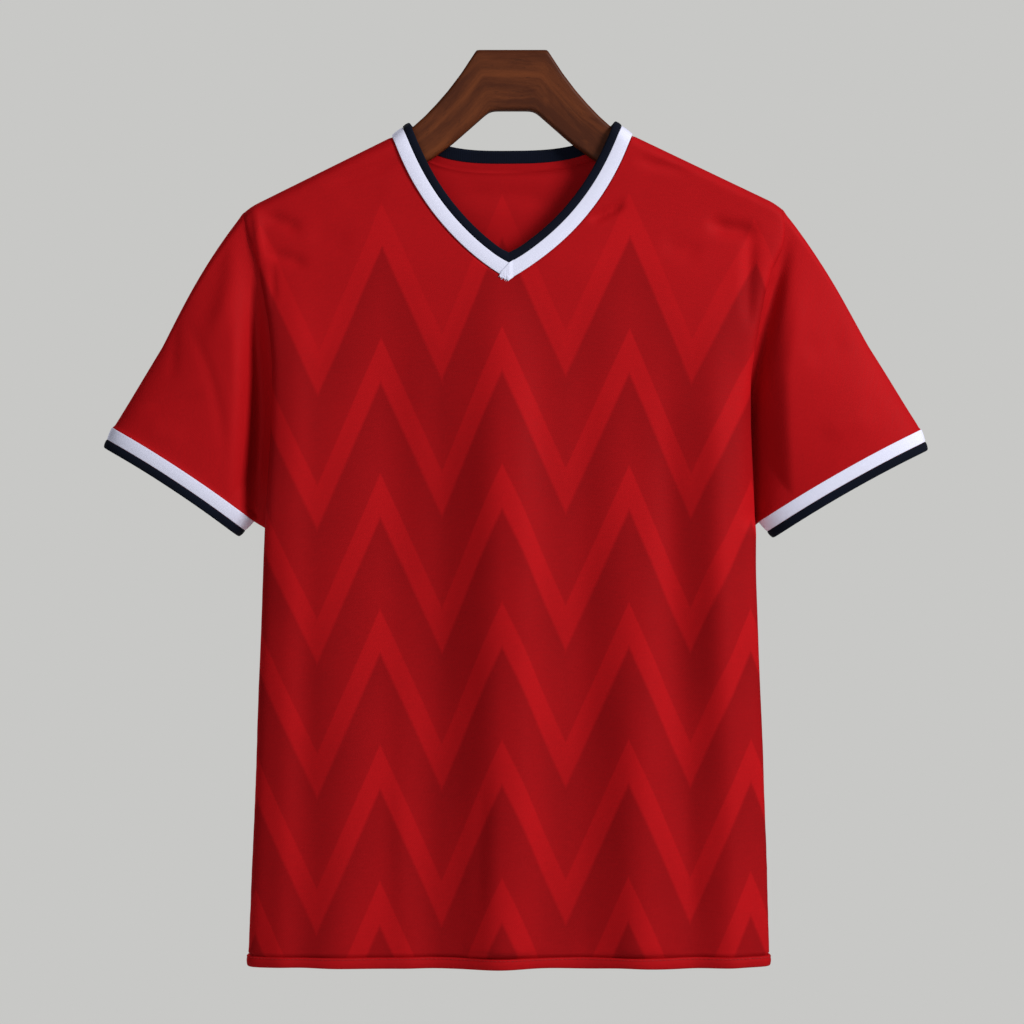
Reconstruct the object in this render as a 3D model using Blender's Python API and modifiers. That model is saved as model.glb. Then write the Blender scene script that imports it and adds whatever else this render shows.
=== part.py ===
"""A short-sleeved football jersey on a wooden clothes hanger.

Every piece that a maker would cut is its own closed cloth wall: front, back, two sleeves, a collar of two
bands, cuffs of two bands each, and the turned hem. The hanger is one wooden bar.
Sizes are millimetres and become metres when a mesh is made. The origin is the middle of the hanger's flat
top. +Z is up, the jersey's front faces -Y, and +X is the wearer's left.
"""

import math
from collections import namedtuple

import bpy
import numpy as np

MM = 0.001

# ---- driving sizes, in millimetres ----
PANEL_WALL = 1.2
WHITE_WALL = 1.0
HEM_WALL = 2.2
SEAM_GAP = 0.3  # left between two pieces that are sewn together
# The white strips lie on the red cloth. The navy bands are as thick as both and form the edge.
WHITE_LIFT = (PANEL_WALL + WHITE_WALL) / 2 + SEAM_GAP
NAVY_WALL = PANEL_WALL + SEAM_GAP + WHITE_WALL
NAVY_LIFT = (NAVY_WALL - PANEL_WALL) / 2

NECK_HALF = 103.0  # half-width of the neck at the white strip's outer edge, on the shoulder seams
NECK_Z = -74.3
V_POINT_Z = -199.5
V_SAG = 15.0  # how far the V's edge bows out from a straight line
V_SHIFT = -2.6  # the V hangs this far off the middle
V_SHIFT_SPREAD = 55.0
BACK_NECK_DROP = 30.0
SHOULDER_HALF = 232.0
SHOULDER_FALL = 0.486  # fall of the shoulder seam for each millimetre outwards
SHOULDER_TILT = 0.006  # the jersey hangs a little higher at +X, by this much for each millimetre
SHOULDER_END = (220.0, 2.2)  # from here outwards the shoulder seam rounds down, by this much at its end
SHOULDER_ARCH = 10.0  # height over which the cloth rounds off the hanger's edge
ARMPIT_Z = -415.0
ARMPIT_ROUND = 26.0
HEM_TOP_Z = -780.0
HEM_DEEP = 9.5
# Exponents of the torso's sections: 2 is an ellipse, more is squarer.
FRONT_ROUNDNESS = 3.6
BACK_ROUNDNESS = 2.4
SECTION_POINTS = 120
ROLL_POINTS = 8  # of the stretch where the front's cloth rolls back to the seam

COLLAR_WHITE = 11.8
COLLAR_NAVY = 7.2
# How the collar stands off the neck's seam on the +X side: along the shoulder at the shoulder seam, nearly
# upright at the middle of the back, and square to the V's edge in front, where it leans back a little.
SHOULDER_RISE = np.array([-0.80, 0.0, 0.60])
BACK_RISE = np.array([0.0, -0.2, 0.98])
POINT_RISE = np.array([0.0, 0.06, 1.0])
FRONT_LEAN = 0.1
FRONT_TURN = 45.0  # below the shoulder seam the collar turns to its front direction over this height
BACK_TURN = 50.0  # and behind it, to its back direction over this width
CUFF_WHITE = 11.0
CUFF_NAVY = 7.6

# One row for each height of the torso. edge is the half-width of its outline, seam the half-width at which
# the side seam or armhole seam runs, and sway how far both edges hang to +X. front and back are how far the
# middle of each panel stands off the hanger's plane, edge_y the depth of the outline's edge, mid the depth of
# the seam, or of the middle of the armhole, and half the armhole's half-depth.
Level = namedtuple("Level", "z edge seam sway front back edge_y mid half")
LEVELS = (
    Level(-40, 232.0, 232.0, 1.0, 11.5, 11.5, -10.5, 0.0, 10.5),
    Level(-139, 232.0, 232.0, 1.0, 13.5, 13.0, -10.5, 0.0, 10.5),
    Level(-155, 230.5, 230.0, 3.0, 15.0, 14.0, -11.5, 0.5, 11.5),
    Level(-170, 227.5, 226.5, 4.5, 17.0, 15.5, -12.0, 1.0, 12.5),
    Level(-190, 220.5, 219.0, 3.0, 19.5, 17.0, -12.5, 2.0, 13.5),
    Level(-215, 214.5, 213.0, 1.7, 21.0, 19.0, -12.5, 3.5, 13.5),
    Level(-235, 211.0, 209.5, 1.5, 22.5, 20.5, -11.5, 5.0, 12.5),
    Level(-260, 207.5, 205.5, 1.0, 24.0, 22.0, -10.5, 7.5, 11.0),
    Level(-285, 205.2, 202.5, -0.4, 25.0, 23.0, -9.5, 10.0, 9.5),
    Level(-320, 205.8, 202.6, -0.7, 26.0, 24.0, -8.5, 11.5, 8.5),
    Level(-380, 208.8, 205.3, -1.2, 26.5, 25.0, -7.0, 11.0, 8.0),
    Level(-418, 210.6, 207.5, -1.5, 26.5, 25.0, -5.0, 8.5, 8.0),
    Level(-450, 211.4, 209.6, -1.9, 26.5, 25.0, -3.0, 7.0, 8.0),
    Level(-520, 214.2, 213.6, -1.8, 26.0, 24.5, -1.0, 5.0, 8.0),
    Level(-620, 218.4, 218.4, -1.8, 25.5, 24.0, 0.0, 4.0, 8.0),
    Level(-790, 224.5, 224.5, -2.8, 25.0, 24.0, 1.0, 3.0, 8.0),
)

# Soft hanging folds. x_top and x_low are where a fold's crest runs at its start and at the hem, z_top where
# it starts and z_full where it has its whole depth. A positive depth stands outwards.
Fold = namedtuple("Fold", "x_top x_low z_top z_full spread depth")
FRONT_FOLDS = (
    Fold(-8, -6, -190, -450, 27, 10.5),
    Fold(106, 112, -330, -640, 24, 7.5),
    Fold(176, 190, -250, -480, 15, 4.0),
    Fold(-128, -152, -480, -720, 22, 4.5),
    Fold(56, 60, -330, -600, 20, -3.5),
    Fold(-112, -72, -150, -400, 30, -5.0),
    Fold(140, 158, -270, -520, 14, -3.0),
    Fold(-190, -198, -170, -320, 15, 3.5),
    Fold(-92, -88, -420, -640, 14, 2.5),
)
BACK_FOLDS = (
    Fold(20, 34, -260, -640, 30, 6.0),
    Fold(-88, -104, -320, -700, 28, 6.5),
    Fold(128, 146, -340, -700, 28, 5.0),
    Fold(-36, -38, -400, -740, 22, -2.5),
)
FOLD_FADE = 34.0  # folds die away over this width before the torso's edge

# The sleeve's mouth in the cloth's own plane: the ends of the line where the cuff is sewn on.
Cuff = namedtuple("Cuff", "side outer_x outer_z inner_x inner_z")
CUFFS = (
    Cuff("right", -343.5, -326.5, -224.5, -405.5),
    Cuff("left", 351.5, -328.0, 214.8, -406.0),
)
CUFF_FRONT = 24.0
CUFF_BACK = 20.0
CUFF_OUTER_Y = -2.0
CUFF_INNER_Y = 5.5
CUFF_BOW = 3.2  # the mouth rises this much in the middle of its front and back
CUFF_ROUNDNESS = 2.2
CUFF_DRAW_IN = 0.05  # share by which the knitted cuff narrows to its edge
SLEEVE_CREST = 46.0  # distance from the torso's edge to the sleeve's full depth
SLEEVE_CLEAR = 2.6  # the sleeve lies back in the armhole's fold until it is this far past the torso's edge
SLEEVE_LEAST_RUN = 3.0
SLEEVE_FULL = 0.7  # elsewhere the sleeve has its full depth at this share of its length
UNDERARM_TURN = 0.45
# The sleeve's upper edge swells by SHOULDER_SWELL on its way down, up to the share SWELL_END of its length.
# SWELL_NARROW is the exponent that keeps the swelling to that edge.
SHOULDER_SWELL = {"right": (3.5, 2.0), "left": (1.2, 0.8)}  # outwards and upwards
SWELL_NARROW = 4
SWELL_END = 0.714

# ---- how finely the cloth is divided ----
NECK_SAMPLES = 400
NECK_STEPS = (0, 0.17, 0.34, 0.5, 0.64, 0.77, 0.87, 0.94, 0.98, 1)
SHOULDER_STEPS = (0, 0.17, 0.34, 0.5, 0.64, 0.76, 0.85, 0.92, 0.965, 1)
ARMHOLE_DROPS = (0, 1, 3.2, 7, 13, 23, 38, 57, 80, 105, 132, 160, 187, 212, 235, 253, 265, 272, 275)
SIDE_DROPS = (285, 304, 332, 366, 403, 443, 483, 523, 563, 602, 640)
SLEEVE_STEPS = np.array((0, 0.05, 0.11, 0.18, 0.27, 0.38, 0.52, 0.68, 0.84, 1))
SHORT_WAY = 55.0
COLLAR_WHITE_ROWS = 2
MOST_LEAN = 0.2  # keeps the gap of a very sharp mitre from growing without end
SHARP_ANGLE = 50.0

# ---- the hanger ----
HANGER_THICK = 13.0
HANGER_ROUND = 5.0
HANGER_ROUND_STEPS = 3
HANGER_EDGE_ANGLE = 60.0  # edges that turn more than this are rounded
WELD_GAP = 0.01
HEAD_HALF = 30.5
ARCH_HALF = 19.0
ARCH_Z = -52.5
ARM_END_X = 216.0
ARM_TIP = 7.0
HANGER_REST = 1.8  # how far the wood lies under the middle of the cloth's wall
# Upper and lower edge of the half-hanger, from the head outwards.
Edge = namedtuple("Edge", "x z")
HEAD_SIDE = (Edge(44, -20.5), Edge(55, -35), Edge(65, -46.5), Edge(75, -57), Edge(85, -66), Edge(94, -72.6))
ARM_UNDER = (Edge(52, -81.5), Edge(70, -94.5), Edge(105, -114), Edge(160, -139.5), Edge(208, -160))

RED = (0.53, 0.008, 0.012)
WHITE = (0.80, 0.80, 0.88)
NAVY = (0.007, 0.011, 0.026)
WOOD = (0.105, 0.037, 0.014)


# ---- curves ----
def smooth(t):
    """0 below 0, 1 above 1, and an S-curve between."""
    t = np.clip(t, 0.0, 1.0)
    return t * t * (3.0 - 2.0 * t)


def cap(depth, reach):
    """A quarter of a circle: 0 at no depth, and 1 from reach onwards."""
    return np.sqrt(1.0 - (1.0 - np.clip(depth / reach, 0.0, 1.0)) ** 2)


def level(name, z):
    """A column of LEVELS at height z, on a smooth curve that never swings past its rows."""
    heights = np.array([row.z for row in LEVELS], float)[::-1]
    values = np.array([getattr(row, name) for row in LEVELS], float)[::-1]
    steps, rises = np.diff(heights), np.diff(values)
    slopes = rises / steps
    tangents = np.zeros(len(heights))
    turning = slopes[:-1] * slopes[1:] > 0
    pair = slopes[:-1] + slopes[1:]
    tangents[1:-1][turning] = 2.0 * (slopes[:-1] * slopes[1:])[turning] / pair[turning]
    tangents[0], tangents[-1] = slopes[0], slopes[-1]
    i = int(np.clip(np.searchsorted(heights, z) - 1, 0, len(steps) - 1))
    t = (z - heights[i]) / steps[i]
    return (
        values[i] * (1 + 2 * t) * (1 - t) ** 2
        + tangents[i] * steps[i] * t * (1 - t) ** 2
        + values[i + 1] * t * t * (3 - 2 * t)
        + tangents[i + 1] * steps[i] * t * t * (t - 1)
    )


def shoulder_z(x):
    """Height of the shoulder seam, whose line runs on over the neck."""
    start, fall = SHOULDER_END
    end = fall * (max(0.0, abs(x) - start) / (SHOULDER_HALF - start)) ** 2
    return NECK_Z - SHOULDER_FALL * (abs(x) - NECK_HALF) + SHOULDER_TILT * x - end


def neck_arc(share):
    """(x, z) on the V's edge: its point at share 0, the shoulder seam at 1."""
    start, end = np.array([0.0, V_POINT_Z]), np.array([NECK_HALF, NECK_Z])
    chord = end - start
    length = np.linalg.norm(chord)
    along, out = chord / length, np.array([chord[1], -chord[0]]) / length
    radius = (length**2 / 4 + V_SAG**2) / (2 * V_SAG)
    half_angle = math.asin(length / 2 / radius)
    angle = half_angle * (2 * share - 1)
    middle = (start + end) / 2 - out * (radius - V_SAG)
    return middle + radius * (math.sin(angle) * along + math.cos(angle) * out)


def back_neck_z(x):
    return NECK_Z - BACK_NECK_DROP * (1 - (abs(x) / NECK_HALF) ** 3)


# ---- the torso's surface ----
def seam_y(side, z):
    """Depth of a panel's edge: of the side seam below the armpit, and of the armhole above it."""
    half = level("half", z) * cap(z - ARMPIT_Z, ARMPIT_ROUND)
    return level("mid", z) + (-half if side == "front" else half)


def section(side, z):
    """Points of half a panel's section at height z, from its middle to its seam."""
    turn = np.linspace(0, math.pi / 2, SECTION_POINTS)
    power = 2.0 / (FRONT_ROUNDNESS if side == "front" else BACK_ROUNDNESS)
    seam, end = level("seam", z), seam_y(side, z)
    if side == "back":
        x = seam * np.sin(turn) ** power
        y = end + (level("back", z) - end) * np.clip(np.cos(turn), 0, 1) ** power
        return x, y
    edge, edge_y = level("edge", z), min(level("edge_y", z), end)
    x = edge * np.sin(turn) ** power
    y = edge_y - (level("front", z) + edge_y) * np.clip(np.cos(turn), 0, 1) ** power
    roll = np.linspace(0, 1, ROLL_POINTS + 1)[1:]
    x = np.append(x, edge - (edge - seam) * roll**2)
    y = np.append(y, edge_y + (end - edge_y) * roll)
    return x, y


def folds(rows, x, z):
    """How far the hanging folds push the cloth outwards."""
    push = 0.0
    for fold in rows:
        run = (fold.z_top - z) / (fold.z_top - HEM_TOP_Z)
        crest = fold.x_top + (fold.x_low - fold.x_top) * np.clip(run, 0, 1)
        grown = smooth((fold.z_top - z) / (fold.z_top - fold.z_full))
        push += fold.depth * grown * math.exp(-(((x - crest) / fold.spread) ** 2))
    return push * smooth((level("edge", z) - abs(x)) / FOLD_FADE)


def swayed(x, z):
    """Where the point that hangs straight at x really hangs: the V and both edges sway a little."""
    edges = level("sway", z) * (x / level("edge", z)) ** 2
    return x + edges + V_SHIFT * math.exp(-((x / V_SHIFT_SPREAD) ** 2))


def torso_point(side, across, z):
    """A point of the front or back: across runs from -1 to 1, seam to seam, and z is its height."""
    x, y = section(side, z)
    along = np.append(0.0, np.cumsum(np.hypot(np.diff(x), np.diff(y))))
    at = abs(across) * along[-1]
    px = math.copysign(np.interp(at, along, x), across)
    py = np.interp(at, along, y) * cap(shoulder_z(px) - z, SHOULDER_ARCH)
    if side == "front":
        return np.array([swayed(px, z), py - folds(FRONT_FOLDS, px, z), z])
    return np.array([swayed(px, z), py + folds(BACK_FOLDS, px, z), z])


def panel_columns():
    """How far across each column runs, from 0 at the middle to 1 at the armhole."""
    neck = [neck_arc(share)[0] for share in NECK_STEPS]
    shoulder = [NECK_HALF + (SHOULDER_HALF - NECK_HALF) * share for share in SHOULDER_STEPS]
    tops = neck[:-1] + shoulder
    return [x / SHOULDER_HALF for x in tops]


def top_point(side, across):
    """The upper end of a column, on the neck seam or the shoulder seam."""
    x = across * SHOULDER_HALF
    if abs(x) >= NECK_HALF - 1e-6:
        return np.array([swayed(x, shoulder_z(x)), 0.0, shoulder_z(x)])
    if side == "back":
        z = back_neck_z(x) + SHOULDER_TILT * x
    else:
        arc = np.array([neck_arc(share) for share in np.linspace(0, 1, NECK_SAMPLES)])
        z = np.interp(abs(x), arc[:, 0], arc[:, 1]) + SHOULDER_TILT * x
    point = torso_point(side, across, z)
    return np.array([swayed(x, z), point[1], z])


def panel(side):
    """Grid of points, rows from the hem's seam to the top and columns from -X to +X."""
    half = panel_columns()
    columns = [-a for a in half[:0:-1]] + half
    drops = np.array(ARMHOLE_DROPS + SIDE_DROPS)[::-1]
    heights = 1.0 - drops / drops[0]
    grid = np.zeros((len(heights), len(columns), 3))
    for c, across in enumerate(columns):
        top = top_point(side, across)
        for r, share in enumerate(heights):
            z = HEM_TOP_Z + (top[2] - HEM_TOP_Z) * share
            grid[r, c] = top if r == len(heights) - 1 else torso_point(side, across, z)
    return grid


# ---- bands and sleeves ----
def armhole(front, back, column):
    """Closed ring down the front panel's armhole edge and up the back's."""
    low = len(SIDE_DROPS)
    down = front[low:, column][::-1]
    up = back[low:, column]
    return np.concatenate([down, up[1:-1]])


def sleeve_mouth(cuff, turn, beyond=0.0):
    """A point of the sleeve's mouth. turn is 0 at its upper edge, pi at the underarm, and passes the front
    first. beyond is how far down the cuff it lies."""
    outer, inner = np.array([cuff.outer_x, cuff.outer_z]), np.array([cuff.inner_x, cuff.inner_z])
    middle, reach = (outer + inner) / 2, (outer - inner) / 2
    up = np.array([-reach[1], reach[0]]) / np.linalg.norm(reach)
    up = up if up[1] > 0 else -up
    power = 2.0 / CUFF_ROUNDNESS
    draw = 1.0 - CUFF_DRAW_IN * beyond / (CUFF_WHITE + CUFF_NAVY)
    c, s = math.cos(turn), math.sin(turn)
    across = math.copysign(abs(c) ** power, c) * draw
    depth = abs(s) ** power * (-CUFF_FRONT if s > 0 else CUFF_BACK) * draw
    x, z = middle + reach * across + up * (CUFF_BOW * s * s - beyond)
    return np.array([x, CUFF_INNER_Y + (CUFF_OUTER_Y - CUFF_INNER_Y) * (1 + across) / 2 + depth, z])


def sleeve_turns(ring):
    """The angle round the mouth that each point of the armhole ring runs to."""
    half = len(ring) // 2
    turns = []
    for path, start in ((ring[: half + 1], 0.0), (np.vstack([ring[half:], ring[:1]]), math.pi)):
        along = np.append(0.0, np.cumsum(np.linalg.norm(np.diff(path, axis=0), axis=1)))
        turns += [start + math.pi * a for a in along[:-1] / along[-1]]
    return turns


def sleeve_point(cuff, start, turn, share):
    """A point on the way from the armhole's point start to the mouth."""
    end = sleeve_mouth(cuff, turn)
    out = math.copysign(1.0, cuff.outer_x)
    point = start + (end - start) * share
    swell = max(0.0, math.cos(turn)) ** SWELL_NARROW * math.sin(math.pi * min(1.0, share / SWELL_END))
    wide, high = SHOULDER_SWELL[cuff.side]
    point[0] += out * wide * swell
    point[2] += high * swell
    move = smooth(share / SLEEVE_FULL)
    if 0 < turn < math.pi and share < 1:
        clear = level("edge", point[2]) + out * level("sway", point[2]) + SLEEVE_CLEAR
        run = max(SLEEVE_LEAST_RUN, min(SLEEVE_CREST, abs(end[0]) - clear))
        late = smooth((abs(point[0]) - clear) / run)
        move += (late - move) * smooth(math.sin(turn) / UNDERARM_TURN)
    point[1] = start[1] + (end[1] - start[1]) * move
    return point


def sleeve(cuff, ring, turns):
    """Rows from the armhole to the mouth, where the white strip starts. Its steps grow from the armhole on,
    and are even where the way is as short as at the underarm."""
    even = np.linspace(0, 1, len(SLEEVE_STEPS))
    columns = []
    for start, turn in zip(ring, turns):
        way = np.linalg.norm(sleeve_mouth(cuff, turn) - start)
        shares = SLEEVE_STEPS + (even - SLEEVE_STEPS) * smooth((SHORT_WAY - way) / SHORT_WAY)
        columns.append([sleeve_point(cuff, start, turn, share) for share in shares])
    return np.array(columns).transpose(1, 0, 2)


def cuff_band(cuff, turns, start, end):
    return np.array([[sleeve_mouth(cuff, t, at) for t in turns] for at in (start, end)])


def neck_seam(front, back):
    """Closed ring of the neck's seam: from the V's point up +X, along the back to -X, and down again."""
    middle, count = front.shape[1] // 2, len(NECK_STEPS) - 1
    up = [front[-1, middle + i] for i in range(count + 1)]
    over = [back[-1, middle + i] for i in range(count - 1, -count, -1)]
    down = [front[-1, middle - i] for i in range(count, 0, -1)]
    return np.array(up + over + down)


def collar_rise(ring):
    """The direction in which the collar stands at each point of the neck's seam. At the V's point it is as
    long as the mitre of the two sides."""
    count = len(NECK_STEPS) - 1
    slope = math.atan2(ring[1][2] - ring[0][2], ring[1][0])
    rises = [POINT_RISE / math.cos(slope)]
    for i in range(1, len(ring)):
        point = ring[i]
        mirror = np.array([-1.0 if i > 2 * count else 1.0, 1.0, 1.0])
        if i < count or i > 3 * count:
            run = np.abs(ring[(i + 1) % len(ring)] - ring[i - 1])
            square = np.array([-run[2], 0.0, run[0]])
            square /= np.linalg.norm(square)
            square[1] = FRONT_LEAN * square[2]
            far = smooth((NECK_Z - point[2]) / FRONT_TURN)
        else:
            square = BACK_RISE
            far = smooth((NECK_HALF - abs(point[0])) / BACK_TURN)
        rise = (square * far + SHOULDER_RISE * (1 - far)) * mirror
        rises.append(rise / np.linalg.norm(rise))
    return np.array(rises)


def collar_band(ring, rises, start, end, steps):
    return np.array([ring + rises * at for at in np.linspace(start, end, steps + 1)])


def hem_ring(front, back, z):
    """Closed ring round the hem at height z, along the front to +X and back along the back."""
    half = panel_columns()
    columns = [-a for a in half[:0:-1]] + half
    there = [torso_point("front", a, z) for a in columns]
    home = [torso_point("back", a, z) for a in columns[-2:0:-1]]
    return np.array(there + home)


# ---- cloth walls ----
# A piece's middle surface is one or more grids of points that share edges. closed says that each grid's last
# column joins its first, out is 1 where the faces of quads() face outwards and -1 where they face inwards,
# and lift is how far the piece lies off the surface that its points are on.
Piece = namedtuple("Piece", "grids closed out lift wall finish")


def quads(rows, columns, closed):
    """Corner indices of a grid's faces."""
    wide = columns if closed else columns - 1
    faces = []
    for r in range(rows - 1):
        for c in range(wide):
            d = (c + 1) % columns
            faces.append((r * columns + c, r * columns + d, (r + 1) * columns + d, (r + 1) * columns + c))
    return faces


def place(point):
    """What two points share when they are the same point of the cloth."""
    return tuple(float(v) + 0.0 for v in np.round(point, 2))


def surface(piece):
    """(points, faces) of the piece's middle surface, its grids joined and its faces turned outwards."""
    index, points, faces = {}, [], []
    for grid in piece.grids:
        corners = grid.reshape(-1, 3)
        for face in quads(*grid.shape[:2], piece.closed):
            loop = []
            for corner in face:
                key = place(corners[corner])
                if key not in index:
                    index[key] = len(points)
                    points.append(corners[corner])
                loop.append(index[key])
            faces.append(tuple(loop[:: piece.out]))
    return np.array(points), faces


def face_normal(points, face):
    a, b, c, d = (points[i] for i in face)
    return np.cross(c - a, d - b)


def shared_normals(pieces):
    """The cloth's outward direction at each place, averaged over all the faces that meet there, so that sewn
    edges are mitred to each other. Faces that lie on each other count once."""
    turned = {}
    for piece in pieces.values():
        points, faces = surface(piece)
        for face in faces:
            normal = face_normal(points, face)
            turned[frozenset(place(points[i]) for i in face)] = normal / np.linalg.norm(normal)
    total = {}
    for corners, normal in turned.items():
        for key in corners:
            total[key] = total.get(key, 0.0) + normal
    return {key: normal / np.linalg.norm(normal) for key, normal in total.items()}


def open_edges(faces):
    """The directed edges that only one face has."""
    edges = {(face[i - 1], face[i]) for face in faces for i in range(4)}
    return sorted(edge for edge in edges if edge[::-1] not in edges)


def drawn_back(points, faces, rim, out):
    """The points, with those of open edges moved inwards until they are half a seam's gap from the plane of
    the mitre, which holds the outward direction out."""
    owner = {(face[i - 1], face[i]): face for face in faces for i in range(4)}
    inwards = {}
    for a, b in rim:
        across = np.cross(face_normal(points, owner[a, b]), points[b] - points[a])
        across /= np.linalg.norm(across)
        for end in (a, b):
            inwards.setdefault(end, []).append(across)
    moved = points.copy()
    for i, (first, second) in inwards.items():
        across = (first + second) / (1.0 + first @ second)
        lean = (across @ out[i]) ** 2 / (across @ across)
        moved[i] += across * SEAM_GAP / 2 / math.sqrt(max(1.0 - lean, MOST_LEAN))
    return moved


def material(name, colour, roughness):
    made = bpy.data.materials.new(name)
    made.use_nodes = True
    shader = made.node_tree.nodes["Principled BSDF"]
    shader.inputs["Base Color"].default_value = (*colour, 1.0)
    shader.inputs["Roughness"].default_value = roughness
    shader.inputs["Metallic"].default_value = 0.0
    made.diffuse_color = (*colour, 1.0)
    return made


def add_object(name, vertices, faces, finish, home):
    mesh = bpy.data.meshes.new(name)
    mesh.from_pydata([tuple(v) for v in np.asarray(vertices) * MM], [], faces)
    mesh.validate()
    mesh.shade_smooth()
    mesh.set_sharp_from_angle(angle=math.radians(SHARP_ANGLE))
    mesh.materials.append(finish)
    made = bpy.data.objects.new(name, mesh)
    home.objects.link(made)
    return made


def cloth_wall(name, piece, normals, home):
    """A closed wall on both sides of the piece's middle surface, with a rim along each open edge."""
    points, faces = surface(piece)
    out = np.array([normals[place(point)] for point in points])
    rim = open_edges(faces)
    middle = drawn_back(points, faces, rim, out) + out * piece.lift
    vertices = np.vstack([middle + out * piece.wall / 2, middle - out * piece.wall / 2])
    inner = len(points)
    inside = [tuple(inner + i for i in face[::-1]) for face in faces]
    edges = [(b, a, inner + a, inner + b) for a, b in rim]
    return add_object(name, vertices, faces + inside + edges, piece.finish, home)


# ---- the hanger ----
def hanger_outline():
    """Corner points of the hanger's outline, round from the head's left corner."""
    outline = []
    for side in (1, -1):
        arm_top = [Edge(x, shoulder_z(side * x) - HANGER_REST) for x in (NECK_HALF, ARM_END_X)]
        tip = Edge(ARM_END_X + ARM_TIP, (arm_top[-1].z + ARM_UNDER[-1].z) / 2)
        upper = [Edge(HEAD_HALF, 0.0), *HEAD_SIDE, *arm_top, tip]
        half = [Edge(side * p.x, p.z) for p in upper + [*ARM_UNDER[::-1], Edge(ARCH_HALF, ARCH_Z)]]
        outline += half[::side]
    return outline


def hanger(finish, home):
    """A flat wooden bar: its outline drawn as a flat curve, extruded, with rounded edges."""
    curve = bpy.data.curves.new("hanger", "CURVE")
    curve.dimensions = "2D"
    curve.fill_mode = "BOTH"
    curve.extrude = HANGER_THICK / 2 * MM
    outline = hanger_outline()
    spline = curve.splines.new("POLY")
    spline.points.add(len(outline) - 1)
    for point, corner in zip(spline.points, outline):
        point.co = (corner.x * MM, corner.z * MM, 0.0, 1.0)
    spline.use_cyclic_u = True
    made = bpy.data.objects.new("hanger", curve)
    made.rotation_euler = (math.pi / 2, 0.0, 0.0)
    home.objects.link(made)
    curve.materials.append(finish)
    weld = made.modifiers.new("weld", "WELD")
    weld.merge_threshold = WELD_GAP * MM
    bevel = made.modifiers.new("bevel", "BEVEL")
    bevel.width = HANGER_ROUND * MM
    bevel.segments = HANGER_ROUND_STEPS
    bevel.limit_method = "ANGLE"
    bevel.angle_limit = math.radians(HANGER_EDGE_ANGLE)
    bevel.use_clamp_overlap = False
    return made


# ---- the jersey ----
def collar_pieces(front, back, red, white, navy):
    """The front and back with their tabs under the collar, and the collar's two strips."""
    ring = neck_seam(front, back)
    rises = collar_rise(ring)
    strip = collar_band(ring, rises, 0.0, COLLAR_WHITE, COLLAR_WHITE_ROWS)
    edge = collar_band(ring, rises, COLLAR_WHITE, COLLAR_WHITE + COLLAR_NAVY, 1)
    last = len(NECK_STEPS) - 1
    front_tab = np.concatenate([strip[:, -last:], strip[:, : last + 1]], axis=1)
    back_tab = strip[:, last : 3 * last + 1][:, ::-1]
    return {
        "front": Piece([front, front_tab], False, 1, 0.0, PANEL_WALL, red),
        "back": Piece([back, back_tab], False, -1, 0.0, PANEL_WALL, red),
        "collar_white": Piece([strip], True, 1, WHITE_LIFT, WHITE_WALL, white),
        "collar_navy": Piece([edge], True, 1, NAVY_LIFT, NAVY_WALL, navy),
    }


def sleeve_pieces(cuff, ring, red, white, navy):
    """A sleeve, which runs on under its cuff, and the cuff's two strips."""
    turns = sleeve_turns(ring)
    tube = sleeve(cuff, ring, turns)
    strip = cuff_band(cuff, turns, 0.0, CUFF_WHITE)
    edge = cuff_band(cuff, turns, CUFF_WHITE, CUFF_WHITE + CUFF_NAVY)
    out = 1 if cuff.side == "left" else -1
    return {
        "sleeve_" + cuff.side: Piece([tube, strip], True, out, 0.0, PANEL_WALL, red),
        "cuff_white_" + cuff.side: Piece([strip], True, out, WHITE_LIFT, WHITE_WALL, white),
        "cuff_navy_" + cuff.side: Piece([edge], True, out, NAVY_LIFT, NAVY_WALL, navy),
    }


def jersey_pieces():
    red = material("red_knit", RED, 0.62)
    white = material("white_rib", WHITE, 0.7)
    navy = material("navy_rib", NAVY, 0.7)
    front, back = panel("front"), panel("back")
    pieces = collar_pieces(front, back, red, white, navy)
    for cuff, column in zip(CUFFS, (0, -1)):
        pieces |= sleeve_pieces(cuff, armhole(front, back, column), red, white, navy)
    hem = np.array([hem_ring(front, back, z) for z in (HEM_TOP_Z - HEM_DEEP, HEM_TOP_Z)])
    pieces["hem"] = Piece([hem], True, 1, 0.0, HEM_WALL, red)
    return pieces


def main():
    for old in list(bpy.data.objects):
        bpy.data.objects.remove(old)
    home = bpy.data.collections.new("football_jersey")
    bpy.context.scene.collection.children.link(home)
    pieces = jersey_pieces()
    normals = shared_normals(pieces)
    for name, piece in pieces.items():
        cloth_wall(name, piece, normals, home)
    hanger(material("walnut_wood", WOOD, 0.45), home)


main()
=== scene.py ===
"""Looks of a short-sleeved football jersey on a wooden clothes hanger.

Each cut piece of the jersey is a thin two-sided wall of cloth on the form of its solid, with finer creases,
seams and stitches, and the hanger is a rounded bar of oiled walnut. Sizes are millimetres and become metres
when a mesh is made. +Z is up, the front faces -Y, and +X is the wearer's left.
"""

import math
import random
from collections import namedtuple
from functools import partial

import bpy
import numpy as np
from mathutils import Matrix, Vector, noise


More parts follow.
